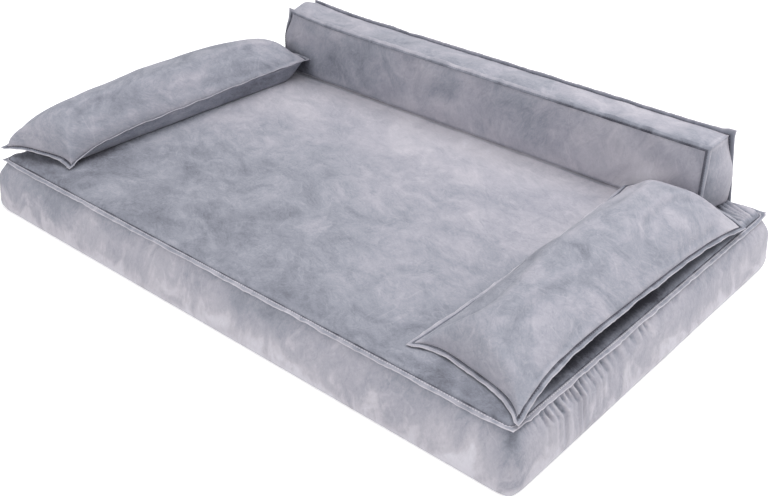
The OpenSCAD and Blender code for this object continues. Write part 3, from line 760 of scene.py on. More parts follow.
def mattress_top(gx, gy):
    """The top's grid: rolled over at its edge, slack inside it, and puckered at one corner."""
    x, y, u, v = round_corners(gx, gy)
    in_corner = (np.abs(gx) > SEAM_X - CORNER_R) & (np.abs(gy) > SEAM_Y - CORNER_R)
    depth = np.minimum(SEAM_X - np.abs(x), SEAM_Y - np.abs(y))
    depth = np.where(in_corner, CORNER_R * (1 - np.hypot(u, v)), depth)
    roll = np.sqrt(np.clip(1 - (1 - np.clip(depth / ROLL_W, 0, 1)) ** 2, 0, 1))
    top = joined(x, y, mix(SEAM_Z, TOP_Z, roll))
    slack = 0.5 + 0.5 * np.clip(waves(top, 170 * MM, 21), -1, 1)
    small = 0.5 + 0.5 * np.clip(waves(top, 45 * MM, 22), -1, 1)
    top[..., 2] -= smooth(4 * MM, 30 * MM, depth) * (1.3 * MM * slack + 0.45 * MM * small)
    top[..., 2] += corner_puckers(top, depth)
    return top


def boxing_heights():
    """Heights of the boxing's rows, from the seam down. They crowd at the seam, the zip and the floor."""
    edge = 0.4 * MM
    return np.concatenate([
        SEAM_Z - np.array([0.8, 2, 3.6, 5.6, 8, 10.4]) * MM,
        [REAR_ZIP_HIGH, REAR_ZIP_HIGH - edge],
        even_line(REAR_ZIP_HIGH - 3 * MM, REAR_ZIP_LOW + 3 * MM, 3.2 * MM),
        [REAR_ZIP_LOW + edge, REAR_ZIP_LOW],
        even_line(REAR_ZIP_LOW - 3.2 * MM, 14 * MM, 3.6 * MM),
        np.array([10.5, 7.4, 4.8, 2.8, 1.4, 0.5, 0.0]) * MM,
    ])


def mattress_boxing(z, seam, away):
    """The boxing's rows. Behind the zip they lie flat, and past its ends they are pressed in for the pull."""
    rear_side = away[:, 1] > 0.99
    from_zip = z[:, None] - (REAR_ZIP_LOW + REAR_ZIP_HIGH) / 2
    calm = smooth(-10 * MM, 10 * MM, REAR_ZIP_X - np.abs(seam[:, 0])) * rear_side
    calm = 0.9 * calm * spot(from_zip, 14 * MM)
    out = squared(boxing_out(z, seam), away, BOX_SHARE)
    out += mattress_folds(seam, away, z) * (1 - calm)
    rows = seam[None] + away[None] * out[..., None]
    tape_back = (REAR_ZIP[1][1] - TAPE_THICK, REAR_ZIP[0][1])
    behind = np.interp(z, (REAR_ZIP_LOW, REAR_ZIP_HIGH), tape_back)[:, None] - BEHIND_TAPE
    on_rear = (np.abs(seam[:, 0]) < REAR_ZIP_X) & rear_side
    in_band = (z < REAR_ZIP_HIGH - 0.1 * MM) & (z > REAR_ZIP_LOW + 0.1 * MM)
    rows[..., 1] = np.where(in_band[:, None] & on_rear[None], behind, rows[..., 1])
    off_band = np.maximum(np.abs(from_zip) - (REAR_ZIP_HIGH - REAR_ZIP_LOW) / 2, 0)
    past_zip = np.abs(seam[:, 0]) > REAR_ZIP_X - 1 * MM
    pressed = np.minimum(rows[..., 1], behind + 0.4 * MM + 0.6 * off_band)
    rows[..., 1] = np.where(past_zip[None], pressed, rows[..., 1])
    rows[..., 2] = z[:, None]
    return rows


def mattress_cover():
    """Top, boxing and underside as one closed cover over the foam."""
    x_lines = edged_line(SEAM_X, EDGE_STEPS, 5 * MM)
    y_lines = edged_line(SEAM_Y, EDGE_STEPS, 2.1 * MM)
    seam, away, places = mattress_seam(x_lines, y_lines)
    top = mattress_top(*np.meshgrid(x_lines, y_lines, indexing="ij"))
    rows = mattress_boxing(boxing_heights(), seam, away)
    under = seam + away * (FLOOR_OUT - 5 * MM)
    under[:, 2] = 1.2 * MM
    top_index = numbered(0, *top.shape[:2])
    row_index = numbered(top_index.size, len(rows) + 1, len(seam))
    loops = np.concatenate([top_index[places][None], row_index])
    faces = list(grid_faces(top_index)) + list(loop_faces(loops)) + [row_index[-1][::-1]]
    points = np.concatenate([top.reshape(-1, 3), rows.reshape(-1, 3), under])
    return points, faces, seam, away


def pucker_fade(x, y):
    """1 where the top puckers at its rear right corner, fading to 0 around it."""
    span = np.hypot(x - SEAM_X + 34 * MM, 0.8 * (y - SEAM_Y + 46 * MM))
    return 1 - smooth(38 * MM, 64 * MM, span)


WRINKLE_PITCH = 15 * MM
WRINKLE_H = 8 * MM
WRINKLE_SINK = 1.5 * MM


def corner_puckers(top, depth):
    """Wrinkles of the top at its rear right corner, where the bolster presses on the foam."""
    fade = smooth(2 * MM, 9 * MM, depth) * pucker_fade(top[..., 0], top[..., 1])
    turn = math.radians(24)
    across = top[..., 1] * math.cos(turn) + top[..., 0] * math.sin(turn)
    run = top[..., 0] * math.cos(turn) - top[..., 1] * math.sin(turn)
    stretched = joined(0.35 * run, across, 0)
    bent = across / WRINKLE_PITCH + 1.3 * waves(stretched, 46 * MM, 31)
    folds = np.abs(np.sin(np.pi * bent)) ** 0.6
    size = 0.8 + 0.5 * waves(stretched, 34 * MM, 32)
    return fade * (WRINKLE_H * folds * size - WRINKLE_SINK)


def corner_reach(away):
    """How much further a flange reaches at a rounded corner, so that its tip is square."""
    size = np.maximum(np.abs(away[:, 0]), np.abs(away[:, 1]))
    return 1 + ((CORNER_R + FLANGE_W) / size - CORNER_R - FLANGE_W) / FLANGE_W


def shaded_by_pillows(points):
    """Painted shade on the top beneath the pillows, reaching out past the right one's outer side, and weaker
    towards their fronts.
    """
    tone_and_painted_shading = np.zeros(len(points))
    for side, beyond, behind in (("left", 0, -6 * MM), ("right", 120 * MM, 8 * MM)):
        low, high = reach(f"{side}_pillow_fill")
        across = np.minimum(points[:, 0] - low[0] - 6 * MM, high[0] + beyond - points[:, 0])
        deep = smooth(0, 30 * MM, high[1] + behind - points[:, 1]) * smooth(0, 45 * MM, across)
        front = points[:, 1] - low[1]
        amount = mix(0.2, 0.5, smooth(30 * MM, 110 * MM, front)) * smooth(-45 * MM, 10 * MM, front)
        tone_and_painted_shading -= amount * deep * (points[:, 2] > SEAM_Z + 0.2 * MM)
    return tone_and_painted_shading


def near_corner(seam):
    """1 at the seam's corners, fading to 0 a little way along the sides."""
    gap_x, gap_y = SEAM_X - np.abs(seam[:, 0]), SEAM_Y - np.abs(seam[:, 1])
    return 1 - smooth(8 * MM, 45 * MM, np.maximum(gap_x, gap_y))


# Patches of tone and of painted shade and painted light in metres: on the top by x and y, on the front
# boxing by x and z, and on the right boxing by y and z
TOP_PATCHES = (
    # Of these, the patches near the pillows' front corners are painted light, and those at the bolster's
    # right foot and in the strip beside the right pillow painted shade
    (0.3, -0.06, 0.07, 0.14, -0.22), (0.07, 0.16, 0.09, 0.03, -0.26), (-0.1, -0.31, 0.08, 0.04, 0.34),
    (-0.21, -0.06, 0.035, 0.12, 0.14), (0.0, -0.04, 0.04, 0.05, 0.12), (0.14, 0.03, 0.04, 0.05, 0.1),
    (-0.35, -0.25, 0.03, 0.05, -0.14), (0.437, -0.275, 0.06, 0.022, 0.42),
    (-0.442, -0.299, 0.05, 0.05, 0.24), (0.451, 0.313, 0.014, 0.03, -0.65),
    (0.2, 0.12, 0.06, 0.04, -0.12), (0.49, -0.02, 0.032, 0.26, -0.45),
)
FRONT_PATCHES = (
    (-0.2, 0.04, 0.09, 0.022, 0.26), (0.44, 0.04, 0.06, 0.03, 0.38), (-0.05, 0.055, 0.035, 0.03, -0.16),
    (0.12, 0.07, 0.08, 0.03, -0.18), (0.02, 0.04, 0.025, 0.02, 0.14), (0.26, 0.03, 0.05, 0.02, 0.16),
    (-0.5, 0.04, 0.03, 0.05, -0.16), (0.51, 0.02, 0.03, 0.025, -0.3),
)
RIGHT_PATCHES = ((-0.24, 0.03, 0.06, 0.03, 0.2), (-0.32, 0.02, 0.03, 0.025, -0.2))
BOLSTER_FOOT_Y = 0.28


def top_tone_and_painted_shading(points):
    """The top's painted shading: paler towards the rear and the right, painted shade in a pocket at the
    bolster's right foot and in the puckers' valleys, their ridges a little paler, a painted contact shadow
    along the bolster with painted light beside it, and patches.
    """
    x, y, z = points.T
    # Painted light towards the rear and the right
    tone_and_painted_shading = 0.06 * (x / SEAM_X) + 0.38 * (y / SEAM_Y) - 0.03
    # Painted shade in the pocket at the bolster's right foot
    foot = np.hypot(x - reach("bolster_right_end")[1][0] - 4 * MM, 0.3 * (y - BOLSTER_FOOT_Y))
    tone_and_painted_shading = tone_and_painted_shading - 0.3 * spot(foot, 12 * MM) + painted_shading_and_tone_patches(points, TOP_PATCHES)
    # Painted shade in the puckers' valleys, a little painted light on their ridges
    tone_and_painted_shading += pucker_fade(x, y) * mix(-0.55, 0.08, smooth(-1 * MM, 6 * MM, z - TOP_Z))
    # A painted contact shadow along the bolster's foot, with painted light beside it
    contact = np.abs(y - reach("bolster_front_panel")[0][1])
    dark_line = 0.22 * fading(contact, 32 * MM) - 0.75 * fading(contact, 1.6 * MM)
    return tone_and_painted_shading + dark_line * (np.abs(x) < BOLSTER_HIGH[0])


def boxing_tone_and_painted_shading(points, below):
    """The boxing's painted shading: painted shade under its seam and at the near corner, painted light near
    the floor, on the right side and towards the right, and patches.
    """
    x, y, z = points.T
    shares = x / SEAM_X, y / SEAM_Y
    on_right, on_front = x > SEAM_X, y < -SEAM_Y
    # Painted light towards the right, and a painted shadow right under the flange
    tone_and_painted_shading = 0.04 * shares[0] - 0.4 * fading(below, 3.5 * MM)
    # Painted light on the right side
    tone_and_painted_shading += on_right * mix(0.1, 0.25, smooth(-0.7, 0.3, shares[1]))
    # Painted shade under the seam, and patches on the front
    under_seam = 1 - smooth(10 * MM, 45 * MM, below)
    tone_and_painted_shading += on_front * painted_shading_and_tone_patches(points, FRONT_PATCHES, (0, 2)) - 0.08 * under_seam
    tone_and_painted_shading += on_right * painted_shading_and_tone_patches(points, RIGHT_PATCHES, (1, 2))
    # Painted light thrown up from the floor, strongest on the front
    tone_and_painted_shading += mix(0.32, 0.8, on_front) * fading(z, 13 * MM)
    # Painted shade under the flange near the front right corner, and in the corner's crease
    near = 1 - smooth(30 * MM, 80 * MM, np.hypot(x - SEAM_X, y + SEAM_Y))
    tone_and_painted_shading -= 0.45 * near * fading(below, 12 * MM) * on_right
    from_corner = np.hypot(x - SEAM_X - 6 * MM, y + SEAM_Y + 6 * MM)
    return tone_and_painted_shading - 0.55 * spot(from_corner, 14 * MM)


def build_mattress():
    points, faces, seam, away = mattress_cover()
    cover = make_object("mattress_cover", points, faces, "top", "mattress")
    below = SEAM_Z - points[:, 2]
    # The cover's tone with its painted shade and painted light, and the painted shade beneath the pillows
    tone_and_painted_shading = np.where(below < 0, top_tone_and_painted_shading(points), boxing_tone_and_painted_shading(points, below))
    set_tone_and_painted_shading(cover, tone_and_painted_shading + shaded_by_pillows(points))
    # Painted shading of the creases: darker in valleys, paler on ridges
    paint_crease_shading(cover, 1.5)
    cover.data.materials.append(MATERIALS["boxing"])
    heights = np.array([p.center[2] for p in cover.data.polygons])
    cover.data.polygons.foreach_set("material_index", (heights < SEAM_Z).astype(int))
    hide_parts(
        "support_foam", "comfort_foam", "mattress_top_panel", "mattress_front_boxing",
        "mattress_left_boxing", "mattress_right_boxing", "mattress_rear_boxing_lower",
        "mattress_rear_boxing_upper",
    )
    build_mattress_flange(seam, away)


def build_mattress_flange(seam, away):
    """The flange round the top seam. It droops, but for its corners and a stretch at the rear right."""
    tilt = mix(-26.0, 0.0, near_corner(seam)) + 8 * waves(seam, 150 * MM, 43)
    tilt += 30 * smooth(SEAM_X - 130 * MM, SEAM_X - 60 * MM, seam[:, 0]) * (away[:, 1] > 0.5)
    tilt = np.radians(tilt)[:, None]
    out = away * np.cos(tilt) * corner_reach(away)[:, None] + UP * np.sin(tilt)
    normal = UP * np.cos(tilt) - away * np.sin(tilt)
    flange = sewn_flange(
        "mattress_top_flange", "mattress", seam + UP * 1.6 * MM, out, normal, 0.92 * FLANGE_W, FLANGE_HALF,
        41, ripple=0.2, form="ridged",
    )
    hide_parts("mattress_flange")


def rounded_ring(half_x, half_y, radius, count, nudge=0.0):
    """A rounded rectangle's points, anticlockwise. The nudge turns points on an axis to the side past it."""
    turns = np.linspace(0, math.tau, count, endpoint=False)
    return joined(
        np.sign(np.cos(turns + nudge)) * (half_x - radius) + radius * np.cos(turns),
        np.sign(np.sin(turns + nudge)) * (half_y - radius) + radius * np.sin(turns),
        0,
    )


SHEET_Z = 0.9 * MM
DOT_PITCH = 20 * MM
DOT_R = 2.4 * MM
DOT_SIDES = 8


def build_base_cloth():
    low, high = reach("mattress_bottom_panel")
    ring = rounded_ring(high[0], high[1], CORNER_R + FLOOR_OUT - FABRIC_SWELL - 2 * MM, 64)
    rows = [ring * [1, 1, 0] + UP * z for z in (SHEET_Z, high[2])]
    index = numbered(0, 2, len(ring))
    faces = list(loop_faces(index, flip=True)) + [index[0][::-1], index[1]]
    cloth = make_object("base_cloth", np.concatenate(rows), faces, "base", "mattress")
    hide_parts("mattress_bottom_panel")
    build_grip_dots(low, high)


def build_grip_dots(low, high):
    """Rows of small grip dots under the base cloth, every second row set over by half a pitch."""
    points, dots = [], []
    bead = numbered(0, 2, DOT_SIDES)
    shape = list(loop_faces(bead)) + [bead[1]]
    angles = math.tau * np.arange(DOT_SIDES) / DOT_SIDES
    circle = joined(np.cos(angles), np.sin(angles), 0)
    for row, y in enumerate(np.arange(low[1] + DOT_PITCH, high[1] - DOT_PITCH / 2, DOT_PITCH)):
        shift = DOT_PITCH / 2 * (row % 2)
        for x in np.arange(low[0] + DOT_PITCH + shift, high[0] - DOT_PITCH / 2, DOT_PITCH):
            dots += shifted(shape, len(points) * bead.size, flip=True)
            points.append(np.concatenate([
                [x, y, 0] + circle * DOT_R + UP * SHEET_Z, [x, y, 0] + circle * DOT_R * 0.7,
            ]))
    make_object("base_grip_dots", np.concatenate(points), dots, "grip", "mattress")


# The bolster

FRONT_PANEL, TOP_BOXING = reach("bolster_front_panel"), reach("bolster_top_boxing")
PANEL_SKIN = 2 * MM
BOLSTER_LOW = np.array([FRONT_PANEL[0][0], TOP_BOXING[0][1] - PANEL_SKIN, FRONT_PANEL[0][2]])
BOLSTER_HIGH = np.array([FRONT_PANEL[1][0], TOP_BOXING[1][1] + PANEL_SKIN, FRONT_PANEL[1][2]])
BOLSTER_SIZE = BOLSTER_HIGH - BOLSTER_LOW
BOLSTER_STEPS = (2 * MM, 3 * MM, 4 * MM)
BOLSTER_ZIP_LOW, BOLSTER_ZIP_HIGH = reach("bolster_zip_tapes")
SLUMP = 17 * MM


def slumped(points):
    """How far the bolster's ends slump outwards below their top corners, the right one only at the rear."""
    along_x, behind, _ = ((points - BOLSTER_LOW) / BOLSTER_SIZE).T
    below = (BOLSTER_HIGH[2] - points[:, 2]) / BOLSTER_SIZE[2]
    at_left = (1 - smooth(0, 0.22, along_x)) * (1 - 0.4 * behind)
    at_right = smooth(0.86, 1, along_x) * np.clip(behind, 0, 1)
    return SLUMP * (at_left * (0.15 + 1.15 * smooth(0, 0.45, below)) - at_right * smooth(0, 0.6, below))


# Patches of tone and of painted shade and painted light on the bolster's front by x and z, in metres
BOLSTER_PATCHES = (
    (0.35, 0.12, 0.05, 0.04, 0.55), (-0.38, 0.11, 0.03, 0.03, -0.55), (-0.28, 0.13, 0.03, 0.03, 0.14),
    (0.2, 0.18, 0.08, 0.02, -0.1), (-0.36, 0.19, 0.03, 0.02, -0.08),
)


def risen(points):
    """How far the bolster's top left corner stands up, where the seams meet."""
    near = (points[:, 0] - BOLSTER_LOW[0]) / (55 * MM)
    share = (points[:, 2] - BOLSTER_LOW[2]) / BOLSTER_SIZE[2]
    return 6 * MM * np.exp(-np.clip(near, 0, None) ** 1.5) * smooth(0.55, 1, share)


def end_folds(span_y, span_z):
    """Short folds of an end panel that fan out from its top front corner."""
    rng = np.random.default_rng(17)
    span, angle = np.hypot(span_y, span_z), np.arctan2(span_z, span_y)
    out = 0 * span
    for at in np.radians([18, 34, 52, 68, 80]):
        length = rng.uniform(20, 42) * MM
        fade = smooth(2 * MM, 9 * MM, span) * (1 - smooth(0.3 * length, length, span))
        out += rng.uniform(1.0, 2.0) * MM * fade * crease(span * (angle - at) / (1.6 * MM + 0.07 * span))
    return out


def bolster_line(axis, pitch):
    """Places along one of the bolster's sides that crowd at its seams."""
    half = BOLSTER_SIZE[axis] / 2
    return BOLSTER_LOW[axis] + half + edged_line(half, BOLSTER_STEPS, pitch)


def bolster_panels(gx, gz):
    """The front and the rear panel's grids, swollen between their seams. The rear is flat behind its zip."""
    u, w = (gx - BOLSTER_LOW[0]) / BOLSTER_SIZE[0], (gz - BOLSTER_LOW[2]) / BOLSTER_SIZE[2]
    dome = swell(u, 14) ** 0.5 * swell(w, 3.0) ** 0.6
    slack = 0.7 * MM * waves(joined(gx, gz, 0), 120 * MM, 51) * dome
    front = joined(gx, BOLSTER_LOW[1] - 3.2 * MM * dome - slack, gz)
    rear = joined(gx, BOLSTER_HIGH[1] + 2.6 * MM * dome + slack, gz)
    in_zip, margin, blend = 1, 2 * MM, 4 * MM
    for places, axis in ((gz, 2), (gx, 0)):
        in_zip = in_zip * smooth(0, blend, places - BOLSTER_ZIP_LOW[axis] + margin)
        in_zip = in_zip * smooth(0, blend, BOLSTER_ZIP_HIGH[axis] + margin - places)
    rear[..., 1] = mix(rear[..., 1], BOLSTER_ZIP_LOW[1] - BEHIND_TAPE, in_zip)
    return front, rear


def bolster_boxing(x, z, side_x, side_z):
    """The boxing's rows from the front seam to the rear one: a wrinkled, bulging top and swollen ends."""
    along_x = (x - BOLSTER_LOW[0]) / BOLSTER_SIZE[0]
    along_z = (z - BOLSTER_LOW[2]) / BOLSTER_SIZE[2]
    on_top, widest = np.maximum(side_z, 0), spot(along_z - 0.4, 0.5)
    rows = []
    for depth in edged_line(BOLSTER_SIZE[1] / 2, BOLSTER_STEPS, 5.5 * MM)[1:-1] + BOLSTER_SIZE[1] / 2:
        t = depth / BOLSTER_SIZE[1]
        bulge_z = 4.5 * MM * swell(t) * on_top * swell(along_x, 24)
        bulge_z += 9 * MM * swell(t) * (along_z > 0.9) * (1 - smooth(0, 0.07, along_x))
        bulge_x = 9 * MM * swell(t ** 0.95, 2.2) ** 0.7 * side_x * swell(along_z, 3.0) ** 0.6 * widest
        bulge_x += side_x * end_folds(depth, BOLSTER_HIGH[2] - z)
        here = joined(x * 0.6, depth, z)
        wrinkles = 1.0 * waves(here, 44 * MM, 52) - 1.3 * np.abs(waves(here * [1, 1, 0], 30 * MM, 53)) ** 0.6
        bulge_z += MM * wrinkles * on_top * swell(t) ** 0.6
        rows.append(joined(x + bulge_x, BOLSTER_LOW[1] + depth, z + bulge_z))
    rows = np.array(rows)
    rows[..., 0] += 1.3 * MM * side_x * (side_z > 0)
    rows[..., 2] += 1.3 * MM * (side_x != 0) * (side_z > 0)
    return rows


def bolster_tone_and_painted_shading(points):
    """The bolster's painted shading: on its boxing, ends and panels, painted shade in lines at its seams and
    its foot, and patches.
    """
    x, y, z = points.T
    width_share, rearwards, height_share = ((points - BOLSTER_LOW) / BOLSTER_SIZE).T
    rearwards = np.clip(rearwards, 0, 1)
    from_front = y - BOLSTER_LOW[1]
    from_seam = np.minimum(from_front, BOLSTER_HIGH[1] - y)
    on_panel = from_seam <= 0.5 * MM
    on_boxing, on_end = ~on_panel & (height_share > 0.97), ~on_panel & (height_share <= 0.97)
    # Painted light towards the rear and the right of the top boxing, and painted shade behind the front
    # flange on its right part
    tone_and_painted_shading = (mix(-0.24, -0.08, smooth(0, 0.4, width_share)) + 0.26 * rearwards) * on_boxing
    tone_and_painted_shading -= 0.45 * smooth(0.62, 0.76, width_share) * fading(from_front, 11 * MM) * on_boxing
    # On the ends: painted light towards the rear and a painted shadow of the front flange
    tone_and_painted_shading += (0.45 * rearwards - 0.12 - 0.4 * fading(from_front, 5 * MM)) * on_end
    # On the panels: painted light towards the right
    tone_and_painted_shading += mix(-0.13, 0.08, smooth(0, 0.6, width_share)) * on_panel
    tone_and_painted_shading += painted_shading_and_tone_patches(points, BOLSTER_PATCHES, (0, 2)) * (from_front < 0.5 * MM)
    # Painted light low on the bolster, and a painted contact shadow at its foot
    tone_and_painted_shading += 0.14 * (1 - smooth(0, 0.25, height_share)) - 0.7 * fading(z - BOLSTER_LOW[2], 1.5 * MM)
    # Painted shade in the seam at the right end's top corner, with painted light beside it
    from_middle = np.abs(x - (BOLSTER_LOW[0] + BOLSTER_HIGH[0]) / 2)
    to_corner = np.hypot(from_middle - BOLSTER_SIZE[0] / 2, z - BOLSTER_HIGH[2])
    seam_line = 0.3 * spot(to_corner - 4 * MM, 2 * MM) - 0.6 * spot(to_corner, 1.6 * MM)
    return tone_and_painted_shading + seam_line * (on_boxing | on_end) * (x > 0) - 0.04


def build_bolster():
    """A closed box of cloth: front panel, boxing on four sides and rear panel, blown up between its seams."""
    x_lines, z_lines = bolster_line(0, 6 * MM), bolster_line(2, 5.5 * MM)
    nx, nz = len(x_lines) - 1, len(z_lines) - 1
    gx, gz = np.meshgrid(x_lines, z_lines, indexing="ij")
    front, rear = bolster_panels(gx, gz)
    i, k = border(nx, nz)
    side_x = (i == nx) * 1.0 - (i == 0)
    side_z = (k == nz) * 1.0 - (k == 0)
    rows = bolster_boxing(x_lines[i], z_lines[k], side_x, side_z)
    front_index = numbered(0, *front.shape[:2])
    row_index = numbered(front_index.size, *rows.shape[:2])
    rear_index = row_index[-1, -1] + 1 + front_index
    loops = np.concatenate([front_index[i, k][None], row_index, rear_index[i, k][None]])
    faces = [*grid_faces(front_index), *loop_faces(loops), *grid_faces(rear_index, flip=True)]
    points = np.concatenate([front.reshape(-1, 3), rows.reshape(-1, 3), rear.reshape(-1, 3)])
    points[:, 0] -= slumped(points)
    points[:, 2] += risen(points)
    cover = make_object("bolster_cover", points, faces, "bolster", "bolster")
    on_edge = (gx == x_lines[0]) | (gx == x_lines[-1]) | (gz == z_lines[0]) | (gz == z_lines[-1])
    zip_band = (gz > BOLSTER_ZIP_LOW[2] - 9 * MM) & (gz < BOLSTER_ZIP_HIGH[2] + 9 * MM)
    corner_or_under = (side_x != 0) & (side_z != 0) | (side_z < 0)
    pinned = np.concatenate([
        on_edge.reshape(-1), np.tile(corner_or_under, len(rows)), (on_edge | zip_band).reshape(-1),
    ])
    to_sides = np.minimum(points - BOLSTER_LOW, BOLSTER_HIGH - points)
    from_seam = np.maximum(np.abs(to_sides[:, 1]), np.abs(np.minimum(to_sides[:, 0], to_sides[:, 2])))
    caps = 0.2 * MM + 3 * MM * smooth(0, 16 * MM, from_seam)
    as_cloth(cover, pinned, pressure=1.2, slack=0.022, cap=caps, bending=0.25)
    set_tone_and_painted_shading(cover, bolster_tone_and_painted_shading(points))
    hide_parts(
        "bolster_foam", "bolster_front_panel", "bolster_rear_panel", "bolster_rear_hem",
        "bolster_top_boxing", "bolster_bottom_boxing", "bolster_left_end", "bolster_right_end",
    )
    front_y, rear_y = BOLSTER_LOW[1] - 0.4 * MM, BOLSTER_HIGH[1] - 1 * MM
    # The flanges' sections carry painted shade in their grooves and painted light on their edges, and the
    # rear one is painted darker
    build_bolster_flange("front", front_y, math.radians(52), 61, "flange", FLANGE_W, "folded")
    build_bolster_flange("rear", rear_y, math.radians(4), 71, "flange_painted_shade", 6.4 * MM, "shaded")


def build_bolster_flange(name, y, lean, seed, material, width, form):
    """A flange up one end, along the top and down the other end, leaning by an angle from the panel's plane.
    The lean fades towards the top left corner, and the rear flange widens at the top right one."""
    pitch, inset = 5 * MM, 2 * MM
    low_x, _, painted_floor_light_z = BOLSTER_LOW
    high_x, _, high_z = BOLSTER_HIGH
    left = [(low_x, z, -1, 0) for z in even_line(painted_floor_light_z, high_z - inset, pitch)]
    top = [(x, high_z, 0, 1) for x in even_line(low_x + inset, high_x - inset, pitch)]
    right = [(high_x, z, 1, 0) for z in (high_z - inset, painted_floor_light_z)]
    path = np.array([*left, (low_x, high_z, -1, 1), *top, (high_x, high_z, 1, 1), *right])
    flat = joined(path[:, 2], 0, path[:, 3])
    side = np.array([0.0, 1.0, 0.0])
    from_left_corner = np.hypot(path[:, 0] - low_x, path[:, 1] - high_z)
    ends = mix(16 * MM, 50 * MM, path[:, 2] < 0)
    lean = (lean * smooth(2 * MM, ends, from_left_corner))[:, None]
    out = flat * np.cos(lean) + side * np.sin(lean)
    normal = -side * np.cos(lean) + flat * np.sin(lean)
    root = joined(path[:, 0], y, path[:, 1])
    root[:, 0] -= slumped(root)
    root[:, 2] += risen(root)
    at_end = smooth(0.3, 0.9, np.abs(path[:, 2]) * (path[:, 3] == 0))
    shade = 0.0
    # Painted shade on the front flange along the top's right part
    if name == "front":
        shade = -0.3 * smooth(0.1, 0.26, path[:, 0]) * (path[:, 3] > 0)
    else:
        width = width * (1 + 0.6 * fading(np.hypot(path[:, 0] - high_x, path[:, 1] - high_z), 12 * MM))
    flange = sewn_flange(
        f"bolster_{name}_edge_flange", "bolster", root, out, normal, width, 0.8 * FLANGE_HALF, seed,
        closed=False, material=material, form=form, plainness=at_end, shade=shade,
    )
    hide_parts(f"bolster_{name}_flange")
    build_folded_flange(name)


def build_folded_flange(name):
    """The stretch of flange that lies folded under the bolster."""
    low, high = reach(f"bolster_{name}_flange")
    first = low[1] if name == "front" else high[1] - FLANGE_W
    last = low[1] + FLANGE_W if name == "front" else high[1]
    base, top, round_off = low[2], BOLSTER_LOW[2] + 0.4 * MM, 0.8 * MM
    x = even_line(BOLSTER_LOW[0] + 1 * MM, BOLSTER_HIGH[0] - 1 * MM, 12 * MM)
    section = (
        (first, mix(base, top, 0.5)), (first + round_off, base), (last - round_off, base),
        (last, mix(base, top, 0.5)), (last - round_off, top), (first + round_off, top),
    )
    rows = [joined(x, y, z) for y, z in section]
    faces = tube_faces(numbered(0, len(rows), len(x)))
    name = f"bolster_{name}_folded_flange"
    make_object(name, np.concatenate(rows), faces, "flange", "bolster")


# The pillows

# Corners go front left, front right, rear left, rear right, as shares of the pillow's width, length and
# height from the middle of its seams. draw and lift say in millimetres how far the left, right, front and
# rear seams draw in and rise at their middles, and draw_skew and skew how much less the right one does
# towards the rear. bluntness is how full the crown is across (front, rear) and along (front, rear), and
# under_powers how full the underside is at the left and the right. Three tones follow: how much paler the
# top is at the front and at the rear, and the painted shade underneath. tilts and flange_shades give each
# side's flange its slope and its painted shade, and patches are patches of tone and of painted shade and
# light on top by x and y
PILLOWS = {
    "left": dict(
        width=137 * MM, length=556 * MM, height=86 * MM,
        corner_shares=(
            (-0.5, -0.5, 0.15), (0.33, -0.425, 0.04), (-0.44, 0.498, 0.21), (0.51, 0.5, 0.43),
        ),
        draw=(-2, 5, 8, 6), lift=(14, 19, 6, 8), skew=0.95, draw_skew=0.0, crown_shares=(1.05, 0.93),
        bluntness=(0.36, 0.55, 0.3, 0.42), under_powers=(3, 6.5), tilts=(0, 34, -12, 10),
        front_paler=0.0, rear_paler=0.15, under_painted_shade=-0.2, flange_shades=(0, -0.35, -0.1, 0), seed=81,
        patches=(
            (-0.43, -0.05, 0.03, 0.07, -0.22), (-0.37, 0.08, 0.02, 0.04, 0.14),
            (-0.43, 0.15, 0.03, 0.03, 0.14),
        ),
    ),
    "right": dict(
        width=179 * MM, length=558 * MM, height=84 * MM,
        corner_shares=(
            (-0.49, -0.44, 0.035), (0.53, -0.503, 0.045), (-0.5, 0.488, 0.18), (0.52, 0.512, 0.09),
        ),
        draw=(8, 13, 22, 10), lift=(2, 27, 0, 20), skew=0.45, draw_skew=0.6, crown_shares=(0.8, 1.0),
        bluntness=(0.72, 0.72, 0.4, 0.75), under_powers=(6, 2.4), tilts=(-4, -12, -10, 0),
        front_paler=0.1, rear_paler=0.35, under_painted_shade=-0.9, flange_shades=(0.2, -0.22, 0.15, 0), seed=91,
        patches=(
            (0.34, -0.13, 0.045, 0.1, -0.34), (0.43, -0.25, 0.03, 0.05, -0.18),
            (0.45, 0.12, 0.03, 0.04, 0.12),
        ),
    ),
}
SEAM_POWER = 4
CROWN_POWERS = (2.6, 4)
UNDER_END_POWER = 18
UNDER_SHARE = 0.78
REST_Z = reach("left_pillow_bottom_panel")[0][2]
CLOTH_RISE = 4.5 * MM
UNDER_SAG = 1.5 * MM
# Steps across and along a pillow, how far the cloth may move its top and its underside, and how often the
# slope of its flange is evened out
PILLOW_STEPS = (44, 120)
PILLOW_CAPS = (6.5 * MM, 2 * MM)
TILT_ROUNDS = 4


def pillow_sheet(pillow, middle, u, v):
    """The sheet that the pillow's four seams span."""
    size = np.array([pillow["width"], pillow["length"], pillow["height"]])
    corners = [middle + np.array(share) * size for share in pillow["corner_shares"]]
    left_draw, right_draw, front_draw, rear_draw = (d * MM for d in pillow["draw"])
    left_lift, right_lift, front_lift, rear_lift = (d * MM for d in pillow["lift"])
    u, v = u[..., None], v[..., None]
    bow_u, bow_v = swell(u, SEAM_POWER), swell(v, SEAM_POWER)
    left = mix(corners[0], corners[2], v) + bow_v * np.array([left_draw, 0, left_lift])
    right = mix(corners[1], corners[3], v)
    right -= bow_v * (1 - pillow["draw_skew"] * v) * np.array([right_draw, 0, 0])
    right = right + bow_v * (1 - pillow["skew"] * v) * np.array([0, 0, right_lift])
    front = mix(corners[0], corners[1], u) + bow_u * np.array([0, front_draw, front_lift])
    rear = mix(corners[2], corners[3], u) + bow_u * np.array([0, -rear_draw, rear_lift])
    flat = mix(mix(corners[0], corners[1], u), mix(corners[2], corners[3], u), v)
    return mix(left, right, u) + mix(front, rear, v) - flat


